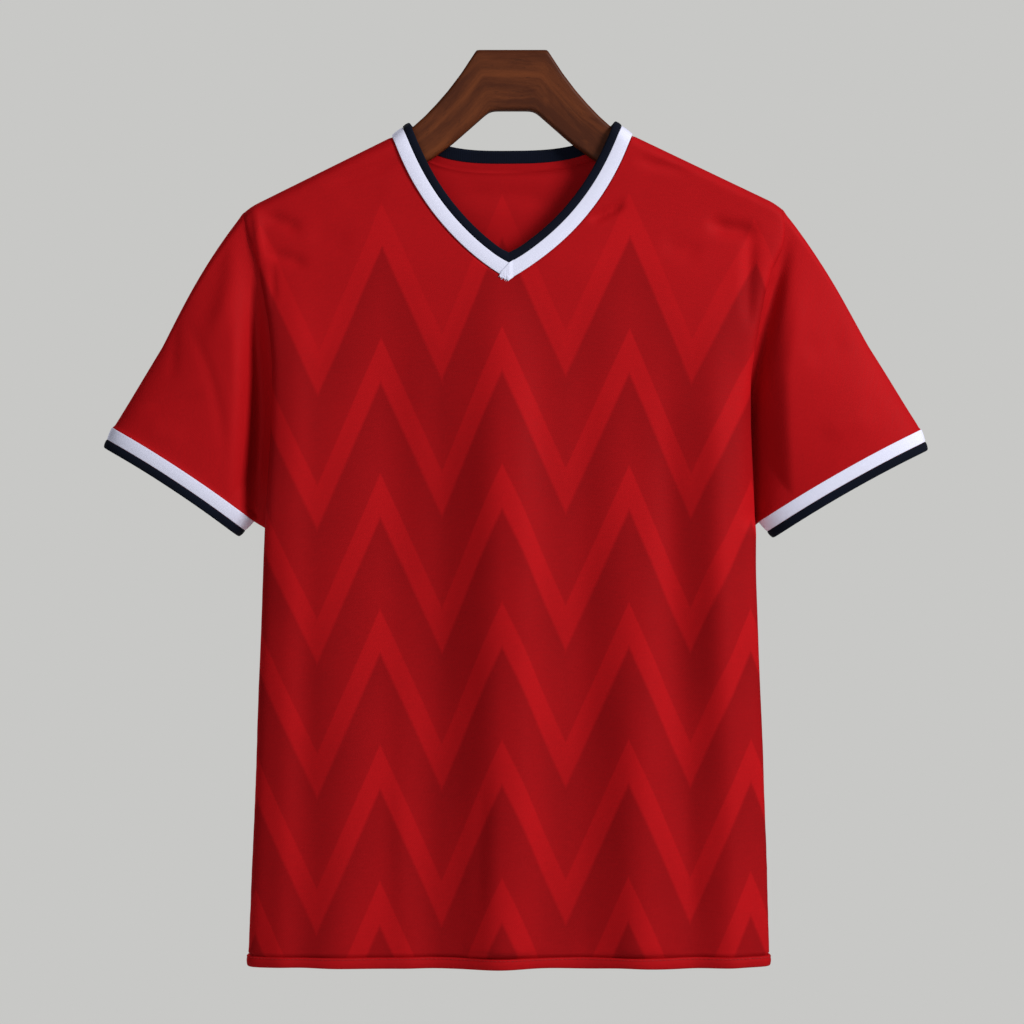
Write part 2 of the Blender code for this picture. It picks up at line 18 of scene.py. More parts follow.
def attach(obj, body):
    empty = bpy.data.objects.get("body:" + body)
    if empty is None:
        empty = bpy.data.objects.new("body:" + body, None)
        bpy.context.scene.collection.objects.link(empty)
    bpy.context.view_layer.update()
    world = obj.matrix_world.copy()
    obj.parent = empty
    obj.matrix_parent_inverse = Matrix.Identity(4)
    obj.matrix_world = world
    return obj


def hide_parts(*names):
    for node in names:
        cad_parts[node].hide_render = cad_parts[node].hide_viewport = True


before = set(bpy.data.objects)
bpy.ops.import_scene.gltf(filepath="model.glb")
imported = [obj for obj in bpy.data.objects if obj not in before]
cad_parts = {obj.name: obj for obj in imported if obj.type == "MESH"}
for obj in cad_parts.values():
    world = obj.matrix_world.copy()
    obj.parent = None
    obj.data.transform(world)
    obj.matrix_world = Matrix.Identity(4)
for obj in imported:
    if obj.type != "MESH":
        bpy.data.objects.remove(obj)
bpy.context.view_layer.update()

MM = 0.001
BODY = "root"

# ---- the cut, as in the construction unless a comment says otherwise ----
PANEL_WALL = 1.2
WHITE_WALL = 1.0
SEAM_GAP = 0.3  # left between two pieces that are sewn together
STRIP_LOW = PANEL_WALL / 2 + SEAM_GAP  # a white strip's two faces, from the middle of the cloth's wall
STRIP_HIGH = STRIP_LOW + WHITE_WALL
NECK_HALF = 103.0  # half-width of the neck at the white strip's outer edge, on the shoulder seams
NECK_Z = -74.3
V_POINT_Z = -199.5
V_SAG = 15.0  # how far the V's edge bows out from a straight line
V_SHIFT = -2.6  # the V hangs this far off the middle
V_SHIFT_SPREAD = 55.0
BACK_NECK_DROP = 30.0
SHOULDER_HALF = 232.0
SHOULDER_FALL = 0.486  # fall of the shoulder seam for each millimetre outwards
SHOULDER_TILT = 0.006  # the jersey hangs a little higher at +X, by this much for each millimetre
SHOULDER_END = (220.0, 2.2)  # from here outwards the shoulder seam rounds down, by this much at its end
SHOULDER_ARCH = 10.0  # height over which the cloth rounds off the hanger's edge
ARMPIT_Z = -415.0
ARMPIT_ROUND = 26.0
HEM_TOP_Z = -780.0
HEM_DEEP = 9.5
# Exponents of the torso's sections: 2 is an ellipse, more is squarer. The front's is higher than in the
# construction.
FRONT_ROUNDNESS = 4.2
BACK_ROUNDNESS = 2.4
SECTION_POINTS = 240
ROLL_POINTS = 24  # of the stretch where the front's cloth rolls back to the seam

COLLAR_WHITE = 11.8
COLLAR_NAVY = 7.2
# How the collar stands off the neck's seam on the +X side: along the shoulder at the shoulder seam, nearly
# upright at the middle of the back, and square to the V's edge in front, where it leans back a little.
SHOULDER_RISE = np.array([-0.80, 0.0, 0.60])
BACK_RISE = np.array([0.0, -0.2, 0.98])
POINT_RISE = np.array([0.0, 0.06, 1.0])
FRONT_LEAN = 0.1
FRONT_TURN = 45.0  # below the shoulder seam the collar turns to its front direction over this height
BACK_TURN = 50.0  # and behind it, to its back direction over this width
CUFF_WHITE = 11.0
CUFF_NAVY = 7.6

# One row for each height of the torso: half-widths of its outline and of its seam, its sway to +X, how far
# front and back stand off the hanger's plane, the depth of the outline's edge, and of the seam or armhole.
Level = namedtuple("Level", "z edge seam sway front back edge_y mid half")
LEVELS = (
    Level(-40, 232.0, 232.0, 1.0, 11.5, 11.5, -10.5, 0.0, 10.5),
    Level(-139, 232.0, 232.0, 1.0, 13.5, 13.0, -10.5, 0.0, 10.5),
    Level(-155, 230.5, 230.0, 3.0, 15.0, 14.0, -11.5, 0.5, 11.5),
    Level(-170, 227.5, 226.5, 4.5, 17.0, 15.5, -12.0, 1.0, 12.5),
    Level(-190, 220.5, 219.0, 3.0, 19.5, 17.0, -12.5, 2.0, 13.5),
    Level(-215, 214.5, 213.0, 1.7, 21.0, 19.0, -12.5, 3.5, 13.5),
    Level(-235, 211.0, 209.5, 1.5, 22.5, 20.5, -11.5, 5.0, 12.5),
    Level(-260, 207.5, 205.5, 1.0, 24.0, 22.0, -10.5, 7.5, 11.0),
    Level(-285, 205.2, 202.5, -0.4, 25.0, 23.0, -9.5, 10.0, 9.5),
    Level(-320, 205.8, 202.6, -0.7, 26.0, 24.0, -8.5, 11.5, 8.5),
    Level(-380, 208.8, 205.3, -1.2, 26.5, 25.0, -7.0, 11.0, 8.0),
    Level(-418, 210.6, 207.5, -1.5, 26.5, 25.0, -5.0, 8.5, 8.0),
    Level(-450, 211.4, 209.6, -1.9, 26.5, 25.0, -3.0, 7.0, 8.0),
    Level(-520, 214.2, 213.6, -1.8, 26.0, 24.5, -1.0, 5.0, 8.0),
    Level(-620, 218.4, 218.4, -1.8, 25.5, 24.0, 0.0, 4.0, 8.0),
    Level(-790, 224.5, 224.5, -2.8, 25.0, 24.0, 1.0, 3.0, 8.0),
)

# The large hanging folds. x_top and x_low are where a fold's crest runs at its start and at the hem, z_top
# where it starts and z_full where it has its whole depth. A positive depth stands outwards.
Fold = namedtuple("Fold", "x_top x_low z_top z_full spread depth")
FRONT_FOLDS = (
    Fold(-8, -6, -190, -450, 27, 10.5),
    Fold(106, 112, -330, -640, 24, 7.5),
    Fold(176, 190, -250, -480, 15, 4.0),
    Fold(-128, -152, -480, -720, 22, 4.5),
    Fold(56, 60, -330, -600, 20, -3.5),
    Fold(-112, -72, -150, -400, 30, -5.0),
    Fold(140, 158, -270, -520, 14, -3.0),
    Fold(-190, -198, -170, -320, 15, 3.5),
    Fold(-92, -88, -420, -640, 14, 2.5),
)
BACK_FOLDS = (
    Fold(20, 34, -260, -640, 30, 6.0),
    Fold(-88, -104, -320, -700, 28, 6.5),
    Fold(128, 146, -340, -700, 28, 5.0),
    Fold(-36, -38, -400, -740, 22, -2.5),
)
FOLD_FADE = 34.0  # folds die away over this width before the torso's edge

# The sleeve's mouth in the cloth's own plane: the ends of the line where the cuff is sewn on.
Cuff = namedtuple("Cuff", "side outer_x outer_z inner_x inner_z")
CUFFS = (
    Cuff("right", -343.5, -326.5, -224.5, -405.5),
    Cuff("left", 351.5, -328.0, 214.8, -406.0),
)
CUFF_FRONT = 24.0
CUFF_BACK = 20.0
CUFF_OUTER_Y = -2.0
CUFF_INNER_Y = 5.5
CUFF_BOW = 3.2  # the mouth rises this much in the middle of its front and back
CUFF_ROUNDNESS = 2.2
CUFF_DRAW_IN = 0.05  # share by which the knitted cuff narrows to its edge
SLEEVE_CREST = 32.0  # from the torso's edge to the sleeve's full depth, shorter than in the construction
SLEEVE_CLEAR = 2.6  # the sleeve lies back in the armhole's fold until it is this far past the torso's edge
SLEEVE_LEAST_RUN = 3.0
SLEEVE_FULL = 0.7  # elsewhere the sleeve has its full depth at this share of its length
UNDERARM_TURN = 0.8  # sine of the turn from the sleeve's fold where that ends, also later
# The sleeve's upper edge swells by SHOULDER_SWELL on its way down, up to the share SWELL_END of its length.
# SWELL_NARROW keeps the swelling to that edge, and SWELL_EARLY, below 1, brings it closer to the armhole.
# The swelling starts faster than in the construction, and is larger on the left.
SHOULDER_SWELL = {"right": (3.4, 2.4), "left": (2.9, 2.0)}  # outwards and upwards
SWELL_NARROW = 4
SWELL_END = 0.62
SWELL_EARLY = 0.8
SHORT_WAY = 55.0  # where a sleeve is shorter than this, its rows lie more evenly

NECK_STEPS = (0, 0.17, 0.34, 0.5, 0.64, 0.77, 0.87, 0.94, 0.98, 1)
SHOULDER_STEPS = (0, 0.17, 0.34, 0.5, 0.64, 0.76, 0.85, 0.92, 0.965, 0.993, 1)
SLEEVE_STEPS = (0, 0.05, 0.11, 0.18, 0.27, 0.38, 0.52, 0.68, 0.84, 0.975, 1)
ARMHOLE_DROP = 275.0  # from the shoulder seam down to the armpit, and to the hem's seam
SIDE_DROP = 640.0
NECK_SAMPLES = 400
V_EDGE_STRETCH = 1.4  # about how much longer the V's edge is than half the neck is wide
ON_SEAM = 1e-6

# ---- finer division of the cloth ----
CLOTH_STEP = 3.3
SLEEVE_ROW_PARTS = 6
ARCH_ROWS = 8
HEM_ROWS = (1.0, 2.2, 3.8)  # extra rows this far above the hem's seam
TAB_ROWS = 4  # rows of the tabs that lie under the collar and the cuffs
COLUMN_SETTLE = 40.0  # near its upper end a column is led to the seam over this height
SHARP_ANGLE = 55.0

# ---- creases that are too fine for the solids ----
# A soft trough (negative depth) or ridge between two places of the front view, bowed sideways by bow.
Crease = namedtuple("Crease", "x0 z0 x1 z1 spread depth bow")
CREASE_TAPER = 0.35  # share of its length over which each end dies away
FRONT_CREASES = (
    Crease(-164, -118, -92, -93, 5.0, -2.0, 2),
    Crease(-150, -132, -104, -122, 8.0, -0.8, 2),
    Crease(-221, -132, -213, -188, 3.8, 2.8, 1),
    Crease(-206, -180, -204, -226, 2.6, -1.3, 0),
    Crease(64, -149, 100, -132, 3.4, -3.6, 1),
    Crease(102, -94, 158, -107, 4.2, -2.0, 1),
    Crease(164, -149, 214, -158, 7.0, -4.6, 2),
    Crease(126, -166, 166, -176, 9.0, -1.4, 2),
    Crease(208, -150, 205, -250, 5.5, -3.6, 3),
    Crease(-176, -158, -134, -166, 10.0, -1.0, 2),
    Crease(-168, -430, -176, -690, 12.0, -1.6, 6),
    Crease(-20, -600, -26, -772, 8.0, -1.3, 2),
    Crease(150, -610, 158, -772, 9.0, -1.4, 3),
    Crease(-100, -610, -96, -774, 9.0, 1.1, -3),
    Crease(-9, -160, -7, -480, 27.0, 3.5, 0),
    Crease(9, -220, 11, -840, 14.0, 3.8, 0),
    Crease(-62, -200, -60, -700, 16.0, -2.4, 0),
    Crease(60, -190, 62, -640, 18.0, -2.4, 0),
    Crease(133, -230, 139, -720, 12.0, -3.0, 0),
    Crease(172, -190, 181, -660, 16.0, 3.4, 0),
    Crease(-216, -143, -178, -157, 5.0, -3.0, 0),
    Crease(-214, -175, -172, -187, 5.0, -2.8, 0),
    Crease(-8, -300, -8, -1000, 27.0, 3.4, 0),
    Crease(106, -420, 112, -1000, 24.0, 2.6, 0),
)
BACK_CREASES = (
    Crease(-150, -110, -98, -96, 5.0, -1.8, 2),
    Crease(112, -100, 164, -116, 4.5, -1.8, -1),
    Crease(186, -150, 212, -146, 6.0, -1.8, 2),
    Crease(-210, -150, -184, -154, 6.0, -1.6, 1),
    Crease(-60, -128, 52, -132, 9.0, 1.4, -6),
    Crease(-30, -150, -120, -210, 12.0, -1.4, 8),
    Crease(46, -156, 138, -230, 12.0, -1.5, -8),
    Crease(78, -290, 84, -520, 13.0, -2.4, -5),
    Crease(-150, -300, -160, -540, 14.0, -2.2, 6),
    Crease(-12, -420, -4, -690, 11.0, 1.8, 5),
    Crease(176, -470, 184, -730, 11.0, -2.2, -4),
    Crease(64, -600, 70, -774, 9.0, -1.8, 2),
    Crease(-70, -600, -66, -774, 9.0, -1.7, -3),
)
# Beside the front's right seam the cloth rolls straight forward. Above ROLL_OPEN the seam and the sleeve go
# with it, and below that height it dies away before the seam.
SIDE_ROLLS = (
    Crease(-206, -172, -214, -500, 36.0, 7.0, 0),
    Crease(-212, -320, -222, -840, 25.0, 5.0, 0),
)
ROLL_FADE = 14.0
ROLL_OPEN = -400.0
ROLL_OPENING = 60.0
ROLL_SLEEVE = 26.0  # how far into the sleeve it goes on
# The deep folds beside the front's armholes, which run on from the front into the sleeves.
VALLEYS = (
    Crease(-224, -172, -226, -450, 8.8, -10.0, -4),
    Crease(241, -152, 205, -345, 6.5, -8.5, 4),
    Crease(207, -265, 209, -470, 8.8, -8.0, 0),
)
VALLEY_END = -417.0  # where they end below, after dying away over VALLEY_FADE
VALLEY_FADE = 16.0
VALLEY_TURN = 0.12  # sine of the turn from a sleeve's fold at which they have their whole depth
SLEEVE_CREASES = {
    "right": (
        Crease(-240, -150, -262, -262, 9.0, -2.4, -8),
        Crease(-290, -226, -292, -292, 4.5, 1.0, 0),
        Crease(-285, -226, -247, -360, 4.5, 1.1, -10),
        Crease(-322, -311, -258, -297, 4.5, 1.2, 0),
        Crease(-318, -322, -276, -338, 9.0, -0.9, 3),
    ),
    "left": (
        Crease(246, -262, 292, -246, 12.0, 1.3, 5),
        Crease(262, -330, 312, -312, 10.0, -1.3, 4),
        Crease(300, -210, 322, -262, 9.0, -0.9, -3),
    ),
}
SLEEVE_BACK_CREASES = {
    "right": (
        Crease(-236, -156, -222, -330, 8.0, -3.5, 4),
        Crease(-262, -230, -310, -300, 12.0, -1.6, 5),
        Crease(-244, -330, -290, -344, 10.0, 1.2, 3),
    ),
    "left": (
        Crease(238, -156, 224, -350, 8.0, -3.2, -4),
        Crease(270, -220, 312, -306, 12.0, -1.5, -5),
        Crease(240, -336, 296, -352, 10.0, 1.3, 3),
    ),
}
CREASE_FADE = 7.0  # creases die away over this width before a seam
UNEVEN = ((95.0, 0.9), (38.0, 0.35))  # size and height of the slight unevenness all over the cloth
UNEVEN_CHANGE = (1.0, 3.0, 0.6)  # how fast it changes along each axis: it is drawn out up and down
PUCKER_LONG = 10.0  # the cloth puckers along its seams with about this wavelength
PUCKER_CHANGE = (1.0, 0.3, 1.0)
PUCKER_HIGH = 0.56
PUCKER_REACH = 9.0
PUCKER_LAST = 2.5  # beyond this many reaches there is none
PUCKER_STILL = 2.0  # close to the seam itself they die away
SEAM_DIP = 0.2  # how far the outer face dips into a seam
SEAM_DIP_REACH = 3.0
HEM_SEAM_DIP = 1.7
HEM_SEAM_REACH = 2.4
BAND_DIP = 0.7  # how far the cloth falls in beside the collar and the cuffs
BAND_DIP_REACH = 3.0
HEM_TUCK = 1.3  # how far the panels reach down inside the hem
HEM_STILL = 6.0  # creases die away over this height above the hem
SLEEVE_SIDE = 0.3  # sine of the turn from a sleeve's fold at which its front or back has its whole creases
CUFF_STILL = 4.0  # and they die away over this way above the cuff's white strip

# ---- the knitted bands ----
CROWN = 0.3  # how much a strip swells in its middle
WHITE_EDGE = 0.45
NAVY_PROUD = 0.25
NAVY_EDGE = 0.7
NAVY_LIP = 4.0  # the navy band is folded over the edge and reaches this far down inside
NAVY_LIP_WALL = 0.8
LIP_ROUND = 0.4
LIP_SLANT = 0.1
BAND_STEP = 1.4
BAND_INSIDE = -1.7  # the inner face of a folded band, from the middle of the cloth's wall
HEM_FACES = (-1.9, 1.5)  # the hem's inner and outer face, from the middle of the cloth's wall
HEM_ROUND = (1.3, 1.7)  # radius of its sewn edge, and of its fold
HEM_CROWN = 0.45
HEM_WAVE = 0.05  # share by which the hem's depth changes along it
HEM_WAVES = 7
HEM_DRIFT = (3, 0.35)  # these waves come closer and draw apart again, so many times and by so much

# ---- thread ----
# One row of machine stitches: length, gap and thickness of a stitch.
Stitch = namedtuple("Stitch", "long gap thick")
HEM_STITCH = Stitch(2.9, 0.7, 0.42)
BAND_STITCH = Stitch(2.3, 0.6, 0.34)
STITCH_IN = 1.6  # from a strip's sewn edge to its stitches
STITCH_SUNK = 0.02
STITCH_SIDES = 6
# A stitch from end to end: places along it as shares of its length, and there its thickness and its height
# as shares of its full thickness.
STITCH_FORM = ((-0.5, 0.35, -0.5), (-0.32, 0.9, 0.1), (0, 1, 0.3), (0.32, 0.9, 0.1), (0.5, 0.35, -0.5))

# ---- loose yarn ends at the V's point ----
FRAY_THREADS = 13
FRAY_THICK = 0.34
FRAY_SEED = 5
# x and z of the first end's root and of the way it points, and how much they change up to the last one.
FRAY_ROOTS = ((-7.4, 3.6), (7.0, -4.2))
FRAY_WAYS = ((-0.75, -0.55), (0.6, 0.0))
# Between what each is drawn: the way's x and z, the length, the curl and the lift off the cloth.
FRAY_X, FRAY_Z = (-0.3, 0.3), (-0.45, 0.25)
FRAY_LONG, FRAY_CURL, FRAY_LIFT = (1.3, 2.9), (-0.9, 0.9), (-0.1, 0.25)
FRAY_SUNK = 0.35  # share of its length by which each begins inside the lap
FRAY_RISE, FRAY_FALL = 0.45, 0.25  # it stands off the cloth, and comes back towards its tip
FRAY_TAPER = (1, 1, 1, 0.95, 0.85, 0.5)

# ---- the lap at the V's point ----
# The white strip's cut end lies over the other strip. Its outline on the -X side, from the navy band down
# to the ragged corner, then its frayed foot, across and up from the V's point.
LAP_EDGE = ((-0.2, 14.3), (-2.1, 12.0), (-4.9, 9.2), (-7.2, 6.2), (-8.2, 3.2))
LAP_FOOT = (
    *((-8.2, 3.2), (-6.9, 1.2), (-5.2, 1.7), (-3.9, -0.3)),
    *((-2.3, 0.5), (-0.9, -1.6), (0.3, -0.6), (4.0, 2.1)),
)
LAP_INSET = 0.2
LAP_REACH = 4.0
LAP_TOP = 0.63  # rise of the strip's upper edge for each millimetre towards +X
LAP_THICK = 0.75
LAP_ROUND = (0.9, 0.8)  # radius of its foot and of its upper edge
LAP_LEAST = 0.1
LAP_LUMPS = (2.2, 1.1)  # size and height of the lumps in its frayed corner
LAP_CORNER = (-4.5, 1.8)  # where that corner is, and how far from there the lumps end and start to fade
LAP_CORNER_END, LAP_CORNER_FADE = 8.4, 6.0
LAP_ROWS, LAP_COLUMNS = 18, 26
LAP_NEAR = 9  # points of the neck's ring to each side that the lap lies over
LAP_UNDER = (-0.6, 40)  # the strips under it, from this far below the seam and in so many rows
LAP_BLEND = 0.01
LAP_SUNK = 0.3

# ---- the hanger, on the construction's outline ----
HANGER_THICK = 13.0
HANGER_EDGE = 3.6
HANGER_STEP = 1.5
HANGER_FACE_PARTS = 5
HANGER_REST = 1.8  # how far the wood lies under the middle of the cloth's wall
EDGE_SHARE = 0.9  # most of a narrow cut's half height that its rounded edge takes up
HEAD_SOFT = 0.9  # how far the corners of the upper and of the lower outline are rounded
ARCH_SOFT = 5.0
SOFT_STEPS = 12  # cuts to each side that the rounding takes in
# The upper and lower ends of the bar's cross-cuts, from the middle outwards. An upper end without a height
# lies on the shoulder line.
Rung = namedtuple("Rung", "x z under_x under_z")
HANGER_RUNGS = (
    Rung(0, 0, 0, -52.5),
    Rung(30.5, 0, 19, -52.5),
    Rung(44, -20.5, 30, -62.2),
    Rung(55, -35, 40, -71.0),
    Rung(65, -46.5, 52, -81.5),
    Rung(75, -57, 61, -88.0),
    Rung(85, -66, 70, -94.5),
    Rung(94, -72.6, 79, -99.5),
    Rung(103, None, 89, -105.1),
    Rung(150, None, 140, -130.2),
    Rung(214, None, 206, -159.0),
    Rung(219, -136.0, 214, -154.5),
    Rung(221.5, -143.0, 219.5, -148.5),
)

# ---- the zigzag that is knitted into the front and back ----
ZIGZAG_WIDE = 106.5  # from peak to peak
ZIGZAG_HIGH = 121.0  # from a peak's tip down to the valley's
ZIGZAG_ROWS = 117.5  # from one zigzag down to the next
ZIGZAG_PEAK_X = -6.0
ZIGZAG_PEAK_Z = -120.0  # of the first zigzag; above it the cloth is plain
# The knitting lies lower towards the side seams, by this much at each side's top and hem.
Drop = namedtuple("Drop", "top low power")
DROPS = {"right": Drop(28.0, 11.0, 1.6), "left": Drop(25.0, -4.0, 3.5)}
DROP_AT = 208.0
# Where a stripe begins and ends, as shares of the way down to the next one.
STRIPE_TOP = (0.0, 0.045)
STRIPE_FOOT = (0.31, 0.39)
STRIPE_BACK = (0.1, 0.2)  # here the ground, which the stripe covers, goes back to its darkest
VALLEY_SHARE = 0.7  # a stripe's strength in its valleys
STRIPE_START = 1.0  # softness of the first stripe's upper edge
GROUND_START = (8.0, 30.0)  # between these places below it, the plain tone passes into the ground's

# ---- finishes ----
RED_LIGHT = "#BA1218"
RED_DARK = "#850B10"
# How far between the dark and the light red each part of the knitting is.
STRIPE_TONE = 0.72
UNDER_TONE = 0.16  # just below a stripe
GROUND_TONE = 0.34  # just above the next one
PLAIN_TONE = 0.52  # above the first zigzag
SLEEVE_TONE = 0.58
YARN_STREAKS = (110.0, 620.0, 1.0)  # yarn shows as level streaks, 9 by 1.6 mm
YARN_CONTRAST = 0.22
PATCH_SIZE = 70.0
PATCH_CONTRAST = 0.25
# Real stitches are about 0.9 by 0.7 mm, too fine to show, so they are drawn twice as coarse.
WALE = 1.9
COURSE = 1.5
KNIT_RELIEF = 0.07
# Light and dark colour of each rib and thread.
WHITE_RIB = ("#E0E1F5", "#D5D6EB")
NAVY_RIB = ("#101525", "#07090F")
WHITE_THREAD = ("#E6E7FC", "#CFD0E6")
RED_THREAD = ("#B4141A", "#780A0F")
RIB = 1.9  # a real rib of this gauge is about 1.2 mm wide
RIB_COURSE = 1.4
RIB_TONE = 0.55
RIB_CONTRAST = 0.1
FUZZ_SIZE = 2.2
FUZZ_CONTRAST = 0.6
FUZZ_HIGH, COURSE_HIGH = 0.5, 0.25  # how high the fuzz and the courses stand, as shares of the ribs
RIB_PATCH_CONTRAST = 0.8
PLY_SIZE = 0.7
PLY_RANGE = (0.35, 0.65)
WOOD_LIGHT = "#7A3F1E"
WOOD_DARK = "#451F0E"
WOOD_PORE = "#28130A"
FIGURE_BEND = 60.0
FIGURE_STREAKS = (7.0, 75.0, 30.0)  # figure about 140 mm long and 13 mm wide
FIGURE_RANGE = (0.22, 0.78)
PORE_STREAKS = (120.0, 1100.0, 400.0)  # pores 8 mm long, drawn wider than real ones, which are 0.2 mm
PORE_CONTRAST = 0.4
PORE_RANGE = (0.63, 0.72)  # where the fine streaks are as strong as this, they are open pores
PORE_STRENGTH = 0.6
# Where the wood turns darker, in millimetres, and by how much at both ends of that way.
# Painted shade: the lower part of the board is painted darker, as shade under the light from above.
WOOD_LOWER_PAINTED_SHADE = (-24.0, -8.0, -0.3, 0.0)
WOOD_DRIFT = (-120.0, 20.0, -0.5, -0.2)
# Over this range, in which noise mostly stays, a roughness runs from its lower to its higher value.
NOISE_RANGE = (0.3, 0.7)
RED_ROUGH = (0.58, 0.7)
RIB_ROUGH = (0.72, 0.86)
WOOD_ROUGH = (0.42, 0.56)
THREAD_ROUGH = 0.62

# ---- the studio, in metres ----
FLOOR_Z = -1.55
FLOOR_RADIUS = 2.6
FLOOR_SIDES = 96
FLOOR_MOTTLE = 3.0
WORLD_LIGHT = 0.14
CAMERA_PLACE = (0.0, -2.6, -0.3988)
CAMERA_LENS, CAMERA_SENSOR = 105.8, 36.0
LAMP_TARGET = (0.0, 0.0, -0.4)
Lamp = namedtuple("Lamp", "name place watts size")
LAMPS = (
    Lamp("key", (2.12, -1.65, 1.1), 96.0, 0.9),
    Lamp("fill", (-1.1, -2.9, 0.0), 20.0, 2.0),
    Lamp("back", (-1.9, 2.5, 0.7), 84.0, 1.1),
)


# ---- curves ----
def smooth(t):
    """0 below 0, 1 above 1, and an S-curve between."""
    t = np.clip(t, 0.0, 1.0)
    return t * t * (3.0 - 2.0 * t)


def cap(depth, reach):
    """A quarter of a circle: 0 at no depth, and 1 from reach onwards."""
    return np.sqrt(1.0 - (1.0 - np.clip(depth / reach, 0.0, 1.0)) ** 2)


def unit(vectors):
    """The vectors, each brought to length 1."""
    return vectors / np.linalg.norm(vectors, axis=-1, keepdims=True)


def filled(steps, most):
    """The steps, with those that are longer than most split evenly."""
    made = [steps[0]]
    for start, end in zip(steps, steps[1:]):
        parts = max(1, math.ceil(abs(end - start) / most))
        made += [start + (end - start) * (i + 1) / parts for i in range(parts)]
    return np.array(made, float)


def run_along(points):
    """Distance along a path at each of its points."""
    return np.append(0.0, np.cumsum(np.linalg.norm(np.diff(points, axis=0), axis=1)))


def looped(points):
    """A closed path: the first point comes again at its end."""
    return np.concatenate([points, points[:1]])


def noise_at(places):
    """Smooth noise at each place, mostly within half a unit either way."""
    return np.array([noise.noise(Vector(place)) for place in places])


def level(name, z):
    """A column of LEVELS at height z, on a smooth curve that never swings past its rows."""
    heights = np.array([row.z for row in LEVELS], float)[::-1]
    values = np.array([getattr(row, name) for row in LEVELS], float)[::-1]
    steps, rises = np.diff(heights), np.diff(values)
    slopes = rises / steps
    tangents = np.zeros(len(heights))
    turning = slopes[:-1] * slopes[1:] > 0
    pair = slopes[:-1] + slopes[1:]
    tangents[1:-1][turning] = 2.0 * (slopes[:-1] * slopes[1:])[turning] / pair[turning]
    tangents[0], tangents[-1] = slopes[0], slopes[-1]
    i = np.clip(np.searchsorted(heights, z) - 1, 0, len(steps) - 1)
    t = (z - heights[i]) / steps[i]
    return (
        values[i] * (1 + 2 * t) * (1 - t) ** 2
        + tangents[i] * steps[i] * t * (1 - t) ** 2
        + values[i + 1] * t * t * (3 - 2 * t)
        + tangents[i + 1] * steps[i] * t * t * (t - 1)
    )


def shoulder_z(x):
    """Height of the shoulder seam, whose line runs on over the neck."""
    start, fall = SHOULDER_END
    end = fall * (np.maximum(0.0, np.abs(x) - start) / (SHOULDER_HALF - start)) ** 2
    return NECK_Z - SHOULDER_FALL * (np.abs(x) - NECK_HALF) + SHOULDER_TILT * x - end


def neck_arc(share):
    """(x, z) on the V's edge: its point at share 0, the shoulder seam at 1."""
    start, end = np.array([0.0, V_POINT_Z]), np.array([NECK_HALF, NECK_Z])
    chord = end - start
    length = np.linalg.norm(chord)
    along, out = chord / length, np.array([chord[1], -chord[0]]) / length
    radius = (length**2 / 4 + V_SAG**2) / (2 * V_SAG)
    half_angle = math.asin(length / 2 / radius)
    angle = half_angle * (2 * share - 1)
    middle = (start + end) / 2 - out * (radius - V_SAG)
    return middle + radius * (math.sin(angle) * along + math.cos(angle) * out)


def back_neck_z(x):
    """Height of the back's neck seam."""
    return NECK_Z - BACK_NECK_DROP * (1 - (np.abs(x) / NECK_HALF) ** 3)


# ---- the torso's surface ----
def seam_y(side, z):
    """Depth of a panel's edge: of the side seam below the armpit, and of the armhole above it."""
    half = level("half", z) * cap(z - ARMPIT_Z, ARMPIT_ROUND)
    return level("mid", z) + (-half if side == "front" else half)


def section(side, z):
    """Half a panel's section at each height z, from its middle to its seam: one row of x and y for each."""
    z = z[:, None]
    turn = np.linspace(0, math.pi / 2, SECTION_POINTS)[None]
    power = 2.0 / (FRONT_ROUNDNESS if side == "front" else BACK_ROUNDNESS)
    across, deep = np.sin(turn) ** power, np.clip(np.cos(turn), 0, 1) ** power
    seam, end = level("seam", z), seam_y(side, z)
    if side == "back":
        return seam * across, end + (level("back", z) - end) * deep
    edge, edge_y = level("edge", z), np.minimum(level("edge_y", z), end)
    roll = np.linspace(0, 1, ROLL_POINTS + 1)[None, 1:]
    x = np.hstack([edge * across, edge - (edge - seam) * roll**2])
    y = np.hstack([edge_y - (level("front", z) + edge_y) * deep, edge_y + (end - edge_y) * roll])
    return x, y


def folds(rows, x, z):
    """How far the hanging folds push the cloth outwards."""
    push = 0.0
    for fold in rows:
        run = (fold.z_top - z) / (fold.z_top - HEM_TOP_Z)
        crest = fold.x_top + (fold.x_low - fold.x_top) * np.clip(run, 0, 1)
        grown = smooth((fold.z_top - z) / (fold.z_top - fold.z_full))
        push = push + fold.depth * grown * np.exp(-(((x - crest) / fold.spread) ** 2))
    return push * smooth((level("edge", z) - np.abs(x)) / FOLD_FADE)


def swayed(x, z):
    """Where the point that hangs straight at x really hangs: the V and both edges sway a little."""
    edges = level("sway", z) * (x / level("edge", z)) ** 2
    return x + edges + V_SHIFT * np.exp(-((x / V_SHIFT_SPREAD) ** 2))


def torso_points(side, across, z, top_x=None, drop=None):
    """Points of the front or back, and how far from its middle along the cloth each is. across runs from -1
    to 1, seam to seam. Near its upper end a column is led to top_x, drop below which the point lies."""
    x, y = section(side, z)
    along = np.cumsum(np.hypot(np.diff(x, axis=1), np.diff(y, axis=1)), axis=1)
    along = np.hstack([np.zeros((len(z), 1)), along])
    at = np.abs(across) * along[:, -1]
    px = np.array([np.interp(a, row, xs) for a, row, xs in zip(at, along, x)]) * np.sign(across)
    py = np.array([np.interp(a, row, ys) for a, row, ys in zip(at, along, y)])
    if top_x is not None:
        px = px + (top_x - px) * smooth(1 - drop / COLUMN_SETTLE)
    py = py * cap(shoulder_z(px) - z, SHOULDER_ARCH)
    push = -folds(FRONT_FOLDS, px, z) if side == "front" else folds(BACK_FOLDS, px, z)
    return np.stack([swayed(px, z), py + push, z], axis=1), at * np.sign(across)


